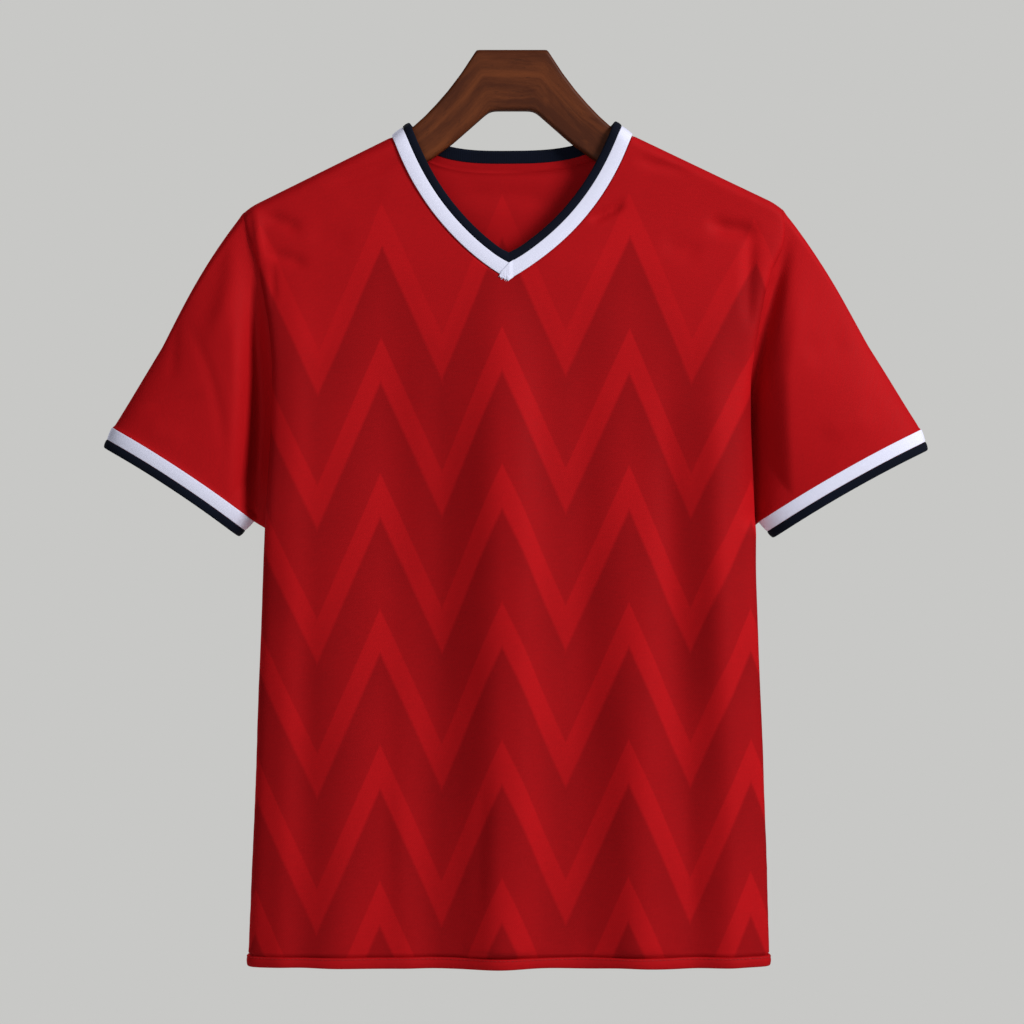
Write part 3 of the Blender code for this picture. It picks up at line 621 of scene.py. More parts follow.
def neck_shares():
    """Where the columns meet the V's edge, as shares of the way from its point to the shoulder."""
    return filled(NECK_STEPS, CLOTH_STEP / NECK_HALF / V_EDGE_STRETCH)


def panel_columns():
    """How far across each column runs, from -1 at one armhole to 1 at the other, and how many columns it is
    from the middle to the shoulder seam."""
    neck = [neck_arc(share)[0] for share in neck_shares()]
    wide = SHOULDER_HALF - NECK_HALF
    shoulder = NECK_HALF + wide * filled(SHOULDER_STEPS, CLOTH_STEP / wide)
    half = np.append(neck[:-1], shoulder) / SHOULDER_HALF
    return np.append(-half[:0:-1], half), len(neck) - 1


def panel_drops():
    """How far below its upper end each row of a column lies, hem first, and the armpit's row."""
    arch = SHOULDER_ARCH * (1 - np.cos(np.linspace(0, math.pi / 2, ARCH_ROWS + 1)))
    armhole = filled([SHOULDER_ARCH, ARMHOLE_DROP], CLOTH_STEP)[1:]
    side = filled([ARMHOLE_DROP, SIDE_DROP - HEM_ROWS[-1]], CLOTH_STEP)[1:]
    hem = [SIDE_DROP - rise for rise in (*HEM_ROWS[-2::-1], 0.0)]
    drops = np.concatenate([arch, armhole, side, hem])
    return drops[::-1], len(side) + len(hem)


def on_shoulder(x):
    """Whether the column that ends at x ends on the shoulder seam."""
    return np.abs(x) >= NECK_HALF - ON_SEAM


def top_ends(side, across):
    """The upper ends of the columns, on the neck seam or the shoulder seam."""
    x = across * SHOULDER_HALF
    if side == "back":
        z = back_neck_z(x) + SHOULDER_TILT * x
    else:
        arc = np.array([neck_arc(share) for share in np.linspace(0, 1, NECK_SAMPLES)])
        z = np.interp(np.abs(x), arc[:, 0], arc[:, 1]) + SHOULDER_TILT * x
    z = np.where(on_shoulder(x), shoulder_z(x), z)
    points, _ = torso_points(side, across, z, x, np.zeros(len(x)))
    points[on_shoulder(x), 1] = 0.0
    return points


# A wall's middle surface: points in rows and columns, the cloth's own coordinates at each (along the wales
# and the courses, as if laid flat), how far each lies from the nearest seam, and the row of the armpit.
Grid = namedtuple("Grid", "points cloth seam low")


def panel(side):
    """The front or back, rows from the hem's seam to the top and columns from -X to +X."""
    across, _ = panel_columns()
    drops, low = panel_drops()
    tops = top_ends(side, across)
    shape = (len(drops), len(across))
    height = tops[:, 2] - HEM_TOP_Z
    drop = (drops[:, None] / SIDE_DROP * height[None]).ravel()
    z = np.tile(tops[:, 2], len(drops)) - drop
    wide = np.tile(across, len(drops))
    points, at = torso_points(side, wide, z, wide * SHOULDER_HALF, drop)
    points, at = points.reshape(*shape, 3), at.reshape(shape)
    points[-1] = tops
    edge = np.abs(at[:, -1:]) - np.abs(at)
    top = np.where(on_shoulder(across * SHOULDER_HALF)[None], drop.reshape(shape), np.inf)
    cloth = np.stack([at, points[..., 2] + knit_drop(points)], axis=2)
    return Grid(points, cloth, np.minimum(edge, top), low)


def knit_drop(points):
    """How much lower the knitting lies at each place than in a level row."""
    x, z = points[..., 0], points[..., 2]
    down = smooth((NECK_Z - z) / (NECK_Z - HEM_TOP_Z))
    made = np.zeros(x.shape)
    for side, sign in (("right", -1), ("left", 1)):
        drop = DROPS[side]
        amount = drop.top + (drop.low - drop.top) * down
        there = amount * (np.abs(x) / DROP_AT) ** drop.power
        made = np.where(np.sign(x) == sign, there, made)
    return made


# ---- sleeves ----
def armhole(front, back, column):
    """Closed ring down the front panel's armhole edge and up the back's."""
    down = front.points[front.low :, column][::-1]
    up = back.points[back.low :, column]
    return np.concatenate([down, up[1:-1]])


def sleeve_mouth(cuff, turn, beyond=0.0):
    """A point of the sleeve's mouth. turn is 0 at its upper edge, pi at the underarm, and passes the front
    first. beyond is how far down the cuff it lies."""
    outer, inner = np.array([cuff.outer_x, cuff.outer_z]), np.array([cuff.inner_x, cuff.inner_z])
    middle, reach = (outer + inner) / 2, (outer - inner) / 2
    up = np.array([-reach[1], reach[0]]) / np.linalg.norm(reach)
    up = up if up[1] > 0 else -up
    power = 2.0 / CUFF_ROUNDNESS
    draw = 1.0 - CUFF_DRAW_IN * beyond / (CUFF_WHITE + CUFF_NAVY)
    c, s = math.cos(turn), math.sin(turn)
    across = math.copysign(abs(c) ** power, c) * draw
    depth = abs(s) ** power * (-CUFF_FRONT if s > 0 else CUFF_BACK) * draw
    x, z = middle + reach * across + up * (CUFF_BOW * s * s - beyond)
    return np.array([x, CUFF_INNER_Y + (CUFF_OUTER_Y - CUFF_INNER_Y) * (1 + across) / 2 + depth, z])


def sleeve_turns(ring):
    """The angle round the mouth that each point of the armhole ring runs to."""
    half = len(ring) // 2
    turns = []
    for path, start in ((ring[: half + 1], 0.0), (looped(ring)[half:], math.pi)):
        along = run_along(path)
        turns += [start + math.pi * a for a in along[:-1] / along[-1]]
    return turns


def sleeve_column(cuff, start, turn, shares):
    """Points on the way from the armhole's point start to the mouth."""
    end = sleeve_mouth(cuff, turn)
    out = math.copysign(1.0, cuff.outer_x)
    points = start + (end - start) * shares[:, None]
    fullest = max(0.0, math.cos(turn)) ** SWELL_NARROW
    swell = fullest * np.sin(math.pi * np.clip(shares / SWELL_END, 0, 1) ** SWELL_EARLY)
    wide, high = SHOULDER_SWELL[cuff.side]
    points[:, 0] += out * wide * swell
    points[:, 2] += high * swell
    move = smooth(shares / SLEEVE_FULL)
    if 0 < turn < math.pi:
        clear = level("edge", points[:, 2]) + out * level("sway", points[:, 2]) + SLEEVE_CLEAR
        run = np.maximum(SLEEVE_LEAST_RUN, np.minimum(SLEEVE_CREST, abs(end[0]) - clear))
        late = smooth((np.abs(points[:, 0]) - clear) / run)
        move = move + (late - move) * smooth(math.sin(turn) / UNDERARM_TURN)
        move[-1] = 1.0
    points[:, 1] = start[1] + (end[1] - start[1]) * move
    return points


def sleeve(cuff, ring, turns):
    """The sleeve's rows from the armhole to the mouth, where the white strip starts, and on under it."""
    places = np.linspace(0, len(SLEEVE_STEPS) - 1, (len(SLEEVE_STEPS) - 1) * SLEEVE_ROW_PARTS + 1)
    steps = np.interp(places, range(len(SLEEVE_STEPS)), SLEEVE_STEPS)
    even = np.linspace(0, 1, len(steps))
    columns = []
    for start, turn in zip(ring, turns):
        way = np.linalg.norm(sleeve_mouth(cuff, turn) - start)
        shares = steps + (even - steps) * smooth((SHORT_WAY - way) / SHORT_WAY)
        tube = sleeve_column(cuff, start, turn, shares)
        tab = [sleeve_mouth(cuff, turn, CUFF_WHITE * (i + 1) / TAB_ROWS) for i in range(TAB_ROWS)]
        columns.append(np.vstack([tube, tab]))
    points = np.array(columns).transpose(1, 0, 2)
    down = np.apply_along_axis(np.cumsum, 0, np.linalg.norm(np.diff(points, axis=0), axis=2))
    down = np.vstack([np.zeros(len(turns)), down])
    about = np.tile(run_along(looped(points[-1]))[:-1], (len(points), 1))
    return Grid(points, np.stack([about, -down], axis=2), down, None)


# ---- relief: what is finer than the solids ----
def taper(t):
    """1 in the middle of a crease's length, and 0 at its two ends."""
    return smooth(t / CREASE_TAPER) * smooth((1 - t) / CREASE_TAPER)


def creased(rows, x, z):
    """How far the creases push the cloth outwards."""
    push = np.zeros(x.shape)
    for row in rows:
        dx, dz = row.x1 - row.x0, row.z1 - row.z0
        length = math.hypot(dx, dz)
        t = ((x - row.x0) * dx + (z - row.z0) * dz) / length**2
        bow = row.bow * (1 - (2 * np.clip(t, 0, 1) - 1) ** 2)
        off = ((x - row.x0) * dz - (z - row.z0) * dx) / length - bow
        push += row.depth * taper(t) * np.exp(-((off / row.spread) ** 2))
    return push


def valley(points):
    """How far back the cloth falls into the folds beside the armholes."""
    x, z = points[..., 0], points[..., 2]
    return -creased(VALLEYS, x, z) * smooth((z - VALLEY_END) / VALLEY_FADE)


def rolled(points, free):
    """How far the cloth beside the front's right seam rolls forward. free is 0 on the seam itself, and 1
    where the seam no longer holds the cloth."""
    together = smooth((points[..., 2] - ROLL_OPEN) / ROLL_OPENING)
    return -creased(SIDE_ROLLS, points[..., 0], points[..., 2]) * (1 - (1 - free) * (1 - together))


def uneven(points):
    """Slight unevenness all over the cloth."""
    flat = points.reshape(-1, 3)
    push = sum(height * noise_at(flat / size * UNEVEN_CHANGE) for size, height in UNEVEN)
    return push.reshape(points.shape[:-1])


def puckered(points, seam):
    """Small puckers beside the seams."""
    push = np.zeros(seam.shape)
    near = seam < PUCKER_REACH * PUCKER_LAST
    waves = noise_at(points[near] / PUCKER_LONG * PUCKER_CHANGE)
    push[near] = waves * PUCKER_HIGH * np.exp(-((seam[near] / PUCKER_REACH) ** 2))
    return push * smooth(seam / PUCKER_STILL)


def normals_of(points, closed, out):
    """The outward direction at each point of a grid."""
    if closed:
        wide = np.concatenate([points[:, -1:], points, points[:, :1]], axis=1)
        across = wide[:, 2:] - wide[:, :-2]
    else:
        across = np.gradient(points, axis=1)
    down = np.gradient(points, axis=0)
    return unit(np.cross(across, down)) * out


# ---- meshes ----
def new_piece(name, vertices, faces, places, material, coordinates="cloth"):
    """A smooth object. places are the cloth's or the wood's own coordinates, in millimetres, at the corners
    of every face."""
    mesh = bpy.data.meshes.new(name)
    mesh.from_pydata((np.asarray(vertices) * MM).tolist(), [], faces)
    if places is not None:
        made = mesh.attributes.new(coordinates, "FLOAT_VECTOR", "CORNER")
        made.data.foreach_set("vector", (np.asarray(places) * MM).ravel())
    mesh.shade_smooth()
    mesh.set_sharp_from_angle(angle=math.radians(SHARP_ANGLE))
    mesh.materials.append(material)
    piece = bpy.data.objects.new(name, mesh)
    bpy.context.scene.collection.objects.link(piece)
    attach(piece, BODY)
    return piece


def two_sided(name, outer, inner, cloth, out, material, closed=False, kept=None):
    """A sheet between two grids of points, with a rim along its open edges. out tells which way its rows
    and columns turn, closed that its last column joins the first, and kept which squares there are."""
    rows, columns = outer.shape[:2]
    used = np.zeros((rows, columns), bool)
    squares = []
    for r in range(rows - 1):
        for c in range(columns if closed else columns - 1):
            if kept is None or kept[r, c]:
                square = [(r, c), (r, c + 1), (r + 1, c + 1), (r + 1, c)]
                squares.append(square if out > 0 else square[::-1])
                used[r : r + 2, c] = used[r : r + 2, (c + 1) % columns] = True
    index = (np.cumsum(used.ravel()) - 1).reshape(used.shape)
    count = int(used.sum())
    faces, places, edges = [], [], {}
    for square in squares:
        loop = [int(index[row, run % columns]) for row, run in square]
        at = [(*cloth[row, run], 0.0) for row, run in square]
        faces += [tuple(loop), tuple(count + i for i in loop[::-1])]
        places += at + at[::-1]
        for i in range(4):
            edges[loop[i - 1], loop[i]] = (at[i - 1], at[i])
    for (a, b), (first, second) in edges.items():
        if (b, a) not in edges:
            faces.append((b, a, count + a, count + b))
            places += [second, first, first, second]
    return new_piece(name, np.vstack([outer[used], inner[used]]), faces, places, material)


def wall(name, grid, normals, closed, out, push, material, kept=None):
    """A wall of cloth on both sides of the grid, pushed outwards by push, that dips into its seams."""
    dip = SEAM_DIP * (1 - smooth(grid.seam / SEAM_DIP_REACH))
    middle = grid.points + normals * push[..., None]
    outer = middle + normals * (PANEL_WALL / 2 - dip)[..., None]
    inner = middle - normals * PANEL_WALL / 2
    last_step = [[[np.linalg.norm(grid.points[-1, 0] - grid.points[-1, -1]), 0.0]]]
    cloth = np.concatenate([grid.cloth, grid.cloth[:, -1:] + last_step], axis=1)
    return two_sided(name, outer, inner, cloth, out, material, closed, kept)


# A ring of cloth places on which a band is built: the points, the direction in which the band's width runs,
# and its outward direction.
Ring = namedtuple("Ring", "points rises outs")


def band(name, ring, profile, material, wave=None):
    """A closed band: the profile, a loop of (how far along the rise, how far out), taken round the ring.
    wave changes its depth along the ring."""
    loop = np.array(profile)
    shape = (len(loop), len(ring.points))
    along = np.tile(loop[:, :1], (1, shape[1])) if wave is None else loop[:, :1] * wave[None]
    points = (
        ring.points[None]
        + ring.rises[None] * along[..., None]
        + ring.outs[None] * loop[:, 1][:, None, None]
    )
    lengths, heights = run_along(looped(ring.points)), run_along(looped(loop))
    faces, cloth = [], []
    for r in range(shape[0]):
        for c in range(shape[1]):
            s, d = (r + 1) % shape[0], (c + 1) % shape[1]
            faces.append((r * shape[1] + c, r * shape[1] + d, s * shape[1] + d, s * shape[1] + c))
            for row, column in ((r, c), (r, c + 1), (r + 1, c + 1), (r + 1, c)):
                cloth.append((lengths[column], heights[row], 0.0))
    return new_piece(name, points.reshape(-1, 3), faces, cloth, material)


def corner(middle, radius, start, end, parts=5):
    """Points of a rounded corner, from one angle to the other, in degrees."""
    turns = np.radians(np.linspace(start, end, parts))
    return [(middle[0] + radius * math.cos(t), middle[1] + radius * math.sin(t)) for t in turns]


def crowned(start, end, height, crown):
    """The upper face of a strip, from start to end, a little higher in its middle."""
    at = filled([start, end], BAND_STEP)[1:-1]
    return [(a, height + crown * math.sin(math.pi * (a - start) / (end - start))) for a in at]


def strip_profile(start, end, low, high):
    """A flat strip with soft outer edges."""
    r = WHITE_EDGE
    return [
        (start, low),
        *corner((start + r, high - r), r, 180, 90),
        *crowned(start + r, end - r, high, CROWN),
        *corner((end - r, high - r), r, 90, 0),
        (end, low),
    ][::-1]


def hem_profile(start, end):
    """The turned hem: a soft sewn edge above, and a round fold below."""
    low, high = HEM_FACES
    sewn, fold = HEM_ROUND
    return [
        (start, low),
        *corner((start + sewn, high - sewn), sewn, 180, 90),
        *crowned(start + sewn, end - fold, high, HEM_CROWN),
        *corner((end - fold, (low + high) / 2), fold, 90, -90, parts=9),
        *[(a, low) for a in filled([end - fold, start], BAND_STEP)[1:-1]],
    ][::-1]


def binding_profile(start, end, low, high):
    """A strip folded over the edge of the cloth, with a lip inside."""
    r, thick, lip = NAVY_EDGE, (high - low) / 2, start - NAVY_LIP
    return [
        (start, low + PANEL_WALL + SEAM_GAP),
        *corner((start + r, high - r), r, 180, 90),
        *crowned(start + r, end - thick, high, CROWN),
        *corner((end - thick, high - thick), thick, 90, -90, parts=13),
        *[(a, low) for a in filled([end - thick, lip + LIP_ROUND], BAND_STEP)[1:-1]],
        *corner((lip + LIP_ROUND, low + LIP_ROUND), LIP_ROUND, 270, 180, parts=4),
        (lip + LIP_SLANT, low + NAVY_LIP_WALL),
        (start, low + NAVY_LIP_WALL),
    ][::-1]


# ---- rings of the bands ----
def ring_with(points, rises, out):
    """The ring with its outward directions; out is -1 where its points run the other way round."""
    tangents = np.roll(points, -1, axis=0) - np.roll(points, 1, axis=0)
    return Ring(points, rises, unit(np.cross(tangents, rises)) * out)


def neck_seam(front, back, count):
    """Closed ring of the neck's seam: from the V's point up +X, along the back to -X, and down again."""
    middle = front.points.shape[1] // 2
    up = [front.points[-1, middle + i] for i in range(count + 1)]
    over = [back.points[-1, middle + i] for i in range(count - 1, -count, -1)]
    down = [front.points[-1, middle - i] for i in range(count, 0, -1)]
    return np.array(up + over + down)


def square_rise(ring, i, count):
    """The direction in which the collar stands at one point of the neck's seam, away from the V's point."""
    mirror = np.array([-1.0 if i > 2 * count else 1.0, 1.0, 1.0])
    if i < count or i > 3 * count:
        run = np.abs(ring[(i + 1) % len(ring)] - ring[i - 1])
        square = unit(np.array([-run[2], 0.0, run[0]]))
        square[1] = FRONT_LEAN * square[2]
        far = smooth((NECK_Z - ring[i][2]) / FRONT_TURN)
    else:
        square = BACK_RISE
        far = smooth((NECK_HALF - abs(ring[i][0])) / BACK_TURN)
    return unit((square * far + SHOULDER_RISE * (1 - far)) * mirror)


def collar_ring(ring, count, mitre):
    """The neck's ring. Over the first mitre points from the V's point the two sides are mitred."""
    slope = math.atan2(ring[mitre][2] - ring[0][2], ring[mitre][0])
    last = len(ring)
    rises = np.array([POINT_RISE / math.cos(slope)] + [square_rise(ring, i, count) for i in range(1, last)])
    for way in (1, -1):
        along = run_along(np.array([ring[way * i] for i in range(mitre + 1)]))
        for i in range(1, mitre):
            share = along[i] / along[-1]
            rises[way * i] = rises[0] * (1 - share) + rises[way * mitre] * share
    return ring_with(ring, rises, 1)


def cuff_ring(cuff, turns):
    """The ring round a sleeve's mouth, whose width runs down the arm."""
    points = np.array([sleeve_mouth(cuff, turn) for turn in turns])
    rises = np.array([sleeve_mouth(cuff, turn, 1.0) for turn in turns]) - points
    return ring_with(points, rises, 1 if cuff.side == "left" else -1)


def hem_ring(front, back):
    """Closed ring round the hem's seam, along the front to +X and back along the back."""
    points = np.concatenate([front.points[0], back.points[0, -2:0:-1]])
    lower = np.concatenate([front.points[1], back.points[1, -2:0:-1]])
    rises = points - lower
    rises /= np.abs(rises[:, 2:])
    return ring_with(points, rises, -1)


# ---- materials ----
def linear(code):
    """An sRGB hex colour as linear values."""
    shares = [int(code[i : i + 2], 16) / 255 for i in (1, 3, 5)]
    return (*(v / 12.92 if v <= 0.04045 else ((v + 0.055) / 1.055) ** 2.4 for v in shares), 1.0)


def node(tree, kind, *inputs, named=None, output=0, **settings):
    """Adds a node with its settings and links, and gives one of its outputs. An input is a value, or an
    output to link; those in named go by their socket's name or place."""
    made = tree.nodes.new("ShaderNode" + kind)
    for key, value in settings.items():
        setattr(made, key, value)
    for place, value in [*enumerate(inputs), *(named or {}).items()]:
        if isinstance(value, bpy.types.NodeSocket):
            tree.links.new(value, made.inputs[place])
        elif value is not None:
            made.inputs[place].default_value = value
    return made.outputs[output] if made.outputs else made


def start_material(name):
    """A material without nodes, and what adds a node to it."""
    made = bpy.data.materials.new(name)
    made.use_nodes = True
    made.node_tree.nodes.clear()
    return made, partial(node, made.node_tree)


def places_on(add, attribute):
    """A piece's own coordinates, and of each place how far along it and how far up or across it lies."""
    place = add("Attribute", attribute_name=attribute, output="Vector")
    along, up, _ = add("SeparateXYZ", place).node.outputs
    return place, along, up


def varied(add, tone, pattern, contrast):
    """The tone, made lighter and darker by a pattern round 0.5."""
    off = add("Math", pattern, 0.5, operation="SUBTRACT")
    return add("Math", off, contrast, tone, operation="MULTIPLY_ADD")


def waves(add, way, long):
    """The knitting's rows: waves that come again every long millimetres."""
    return add("Math", add("Math", way, math.tau / (long * MM), operation="MULTIPLY"), operation="SINE")


def zigzag_tone(add, along, up):
    """How light the knitting is: a zigzag stripe is light, the cloth just under it darkest."""
    across = add("Math", along, ZIGZAG_PEAK_X * MM, operation="SUBTRACT")
    off_peak = add("Math", across, ZIGZAG_WIDE / 2 * MM, operation="PINGPONG")
    depth = add("Math", ZIGZAG_PEAK_Z * MM, up, operation="SUBTRACT")
    steepness = 2.0 * ZIGZAG_HIGH / ZIGZAG_WIDE
    under = add("Math", off_peak, -steepness, depth, operation="MULTIPLY_ADD")
    soft = STRIPE_START * MM
    started = add("MapRange", under, -soft, soft, 0.0, 1.0, interpolation_type="SMOOTHSTEP")
    row = add("Math", under, ZIGZAG_ROWS * MM, operation="DIVIDE")
    phase = add("Math", row, operation="FRACT")
    begins = add("MapRange", phase, *STRIPE_TOP, 0.0, 1.0, interpolation_type="SMOOTHSTEP")
    ends = add("MapRange", phase, *STRIPE_FOOT, 1.0, 0.0, interpolation_type="SMOOTHSTEP")
    weaker = add("MapRange", off_peak, 0.0, ZIGZAG_WIDE / 2 * MM, 1.0, VALLEY_SHARE)
    stripe = add("Math", add("Math", begins, ends, operation="MULTIPLY"), weaker, operation="MULTIPLY")
    stripe = add("Math", stripe, started, operation="MULTIPLY")
    ground = add("MapRange", phase, STRIPE_FOOT[1], 1.0, UNDER_TONE, GROUND_TONE)
    above = add("MapRange", phase, *STRIPE_BACK, GROUND_TONE - UNDER_TONE, 0.0)
    ground = add("Math", ground, above, operation="ADD")
    start, full = (way * MM for way in GROUND_START)
    begun = add("MapRange", under, start, full, 0.0, 1.0, interpolation_type="SMOOTHSTEP")
    ground = add("Mix", begun, None, PLAIN_TONE, ground)
    return add("Mix", stripe, None, ground, STRIPE_TONE)


def red_knit(name, zigzag):
    """Interlock knitted from fine polyester yarn, dyed scarlet. The eye sees a smooth matt red with faint
    level courses; where the zigzag is knitted in, the yarn lies flatter and looks a shade lighter."""
    made, add = start_material(name)
    place, along, up = places_on(add, "cloth")
    tone = zigzag_tone(add, along, up) if zigzag else SLEEVE_TONE
    drawn = add("VectorMath", place, YARN_STREAKS, operation="MULTIPLY")
    yarn = add("TexNoise", drawn, named={"Scale": 1.0, "Detail": 2.0})
    patches = add("TexNoise", place, named={"Scale": 1000.0 / PATCH_SIZE, "Detail": 3.0})
    tone = varied(add, tone, yarn, YARN_CONTRAST)
    tone = varied(add, tone, patches, PATCH_CONTRAST)
    colour = add("Mix", tone, named={6: linear(RED_DARK), 7: linear(RED_LIGHT)}, data_type="RGBA", output=2)
    loops = add("Math", waves(add, along, WALE), waves(add, up, COURSE), yarn, operation="MULTIPLY_ADD")
    settings = {
        "Base Color": colour,
        "Roughness": add("MapRange", yarn, *NOISE_RANGE, *RED_ROUGH),
        "Normal": add("Bump", named={"Height": loops, "Strength": 0.6, "Distance": KNIT_RELIEF * MM}),
        "Specular IOR Level": 0.04,
        "Sheen Weight": 0.012,
        "Sheen Roughness": 0.4,
        "Sheen Tint": linear("#FF5A5A"),
    }
    add("OutputMaterial", add("BsdfPrincipled", named=settings))
    return made


def rib_knit(name, light, dark, specular, high):
    """Cotton rib, knitted one by one and folded double. The eye sees a dense matt strip with fine ribs
    across it and a soft fuzz."""
    made, add = start_material(name)
    place, along, up = places_on(add, "cloth")
    rib, course = waves(add, along, RIB), waves(add, up, RIB_COURSE)
    fuzz = add("TexNoise", place, named={"Scale": 1000.0 / FUZZ_SIZE, "Detail": 3.0})
    patches = add("TexNoise", place, named={"Scale": 1000.0 / PATCH_SIZE, "Detail": 2.0})
    tone = add("Math", rib, RIB_CONTRAST, RIB_TONE, operation="MULTIPLY_ADD")
    tone = varied(add, tone, fuzz, FUZZ_CONTRAST)
    tone = varied(add, tone, patches, RIB_PATCH_CONTRAST)
    fuzzy = add("Math", fuzz, FUZZ_HIGH, rib, operation="MULTIPLY_ADD")
    loops = add("Math", course, COURSE_HIGH, fuzzy, operation="MULTIPLY_ADD")
    colour = add("Mix", tone, named={6: linear(dark), 7: linear(light)}, data_type="RGBA", output=2)
    settings = {
        "Base Color": colour,
        "Roughness": add("MapRange", fuzz, *NOISE_RANGE, *RIB_ROUGH),
        "Normal": add("Bump", named={"Height": loops, "Strength": 0.5, "Distance": high * MM}),
        "Specular IOR Level": specular,
        "Sheen Weight": 0.02,
    }
    add("OutputMaterial", add("BsdfPrincipled", named=settings))
    return made


def thread(name, light, dark):
    """Spun polyester sewing thread. The eye sees a matt cord with fine twisted plies."""
    made, add = start_material(name)
    place = add("TexCoord", output="Object")
    plies = add("TexNoise", place, named={"Scale": 1000.0 / PLY_SIZE, "Detail": 1.0})
    tone = add("MapRange", plies, *PLY_RANGE, 0.0, 1.0)
    colour = add("Mix", tone, named={6: linear(dark), 7: linear(light)}, data_type="RGBA", output=2)
    settings = {
        "Base Color": colour,
        "Roughness": THREAD_ROUGH,
        "Normal": add("Bump", named={"Height": plies, "Strength": 0.4, "Distance": 0.05 * MM}),
        "Specular IOR Level": 0.3,
    }
    add("OutputMaterial", add("BsdfPrincipled", named=settings))
    return made


def oiled_walnut():
    """Walnut, sawn, sanded and oiled. The eye sees warm brown with long darker figure along each arm, short
    open pores, and a low sheen that is a little brighter on the rounded edges."""
    made, add = start_material("oiled_walnut")
    place, along, across = places_on(add, "grain")
    bend = add("TexNoise", place, named={"Scale": 1000.0 / FIGURE_BEND, "Detail": 1.0})
    drawn = add("VectorMath", place, FIGURE_STREAKS, operation="MULTIPLY")
    moved = add("VectorMath", drawn, bend, operation="ADD")
    figure = add("TexNoise", moved, named={"Scale": 1.0, "Detail": 4.0, "Distortion": 0.9})
    streaks = add("VectorMath", place, PORE_STREAKS, operation="MULTIPLY")
    fine = add("TexNoise", streaks, named={"Scale": 1.0})
    tone = add("MapRange", figure, *FIGURE_RANGE, 0.0, 1.0)
    tone = varied(add, tone, fine, PORE_CONTRAST)
    # The lower part of the board is painted darker, as shade, and the board is also darker towards its +X
    # end.
    start, end, *change = WOOD_LOWER_PAINTED_SHADE
    low = add("MapRange", across, start * MM, end * MM, *change, interpolation_type="SMOOTHSTEP")
    tone = add("Math", tone, low, operation="ADD")
    start, end, *change = WOOD_DRIFT
    tone = add("Math", tone, add("MapRange", along, start * MM, end * MM, *change), operation="ADD")
    wood = add("Mix", tone, named={6: linear(WOOD_DARK), 7: linear(WOOD_LIGHT)}, data_type="RGBA", output=2)
    pore = add("MapRange", fine, *PORE_RANGE, 0.0, PORE_STRENGTH)
    colour = add("Mix", pore, named={6: wood, 7: linear(WOOD_PORE)}, data_type="RGBA", output=2)
    settings = {
        "Base Color": colour,
        "Roughness": add("MapRange", fine, *NOISE_RANGE, *WOOD_ROUGH),
        "Normal": add("Bump", named={"Height": fine, "Strength": 0.25, "Distance": 0.12 * MM}),
        "Specular IOR Level": 0.12,
    }
    add("OutputMaterial", add("BsdfPrincipled", named=settings))
    return made


# ---- the pieces ----
def around_neck(front, back):
    """The collar's ring, the columns that end on it, and which of its points lies over each of them."""
    across, count = panel_columns()
    mitre = int(np.argmin(np.abs(neck_shares() - NECK_STEPS[1])))
    ring = collar_ring(neck_seam(front, back, count), count, mitre)
    middle = len(across) // 2
    columns = np.arange(middle - count, middle + count + 1)
    last = len(ring.points)
    places = {
        "front": np.append(np.arange(last - count, last), np.arange(count + 1)),
        "back": np.arange(count, 3 * count + 1)[::-1],
    }
    return ring, columns, places


def with_tab(grid, ring, columns, places):
    """The grid with its tab under the collar, and which of its squares are cloth."""
    rows, wide = grid.points.shape[:2]
    grown = (grid.points, grid.cloth, grid.seam)
    points, cloth, seam = (np.concatenate([part, np.repeat(part[-1:], TAB_ROWS, axis=0)]) for part in grown)
    for i in range(TAB_ROWS):
        high = (COLLAR_WHITE - SEAM_GAP / 2) * (i + 1) / TAB_ROWS
        points[rows + i, columns] = ring.points[places] + ring.rises[places] * high
        cloth[rows + i, columns, 1] += high
    kept = np.ones((rows + TAB_ROWS - 1, wide - 1), bool)
    kept[rows - 1 :] = False
    kept[rows - 1 :, columns[0] : columns[-1]] = True
    return Grid(points, cloth, seam, grid.low), kept


def add_panel(name, grid, neck, columns, places, creases, material):
    """The front or back, with its creases and the puckers along its seams."""
    out = 1 if name == "front" else -1
    whole, kept = with_tab(grid, neck, columns, places)
    whole.points[0, :, 2] -= HEM_TUCK
    if name == "front":
        whole.points[..., 1] += valley(whole.points) + rolled(whole.points, smooth(whole.seam / ROLL_FADE))
    normals = normals_of(whole.points[:-TAB_ROWS], False, out)
    ending = np.repeat(normals[-1:], TAB_ROWS, axis=0)
    ending[:, columns] = neck.outs[places]
    normals = np.concatenate([normals, ending])
    x, z = whole.points[..., 0], whole.points[..., 2]
    above_hem = z - HEM_TOP_Z
    push = (creased(creases, x, z) + uneven(whole.points)) * smooth(whole.seam / CREASE_FADE)
    push += puckered(whole.points, np.minimum(whole.seam, above_hem))
    push *= smooth(above_hem / HEM_STILL)
    push[-TAB_ROWS - 1 :, columns] = 0.0
    below = whole.points[-TAB_ROWS - 1, columns, 2] - z[:, columns]
    push[:, columns] -= BAND_DIP * (1 - smooth(below / BAND_DIP_REACH))
    push -= HEM_SEAM_DIP * (1 - smooth(above_hem / HEM_SEAM_REACH))
    piece = wall(name + "_cloth", whole, normals, False, out, push, material, kept)
    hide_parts(name)
    return piece


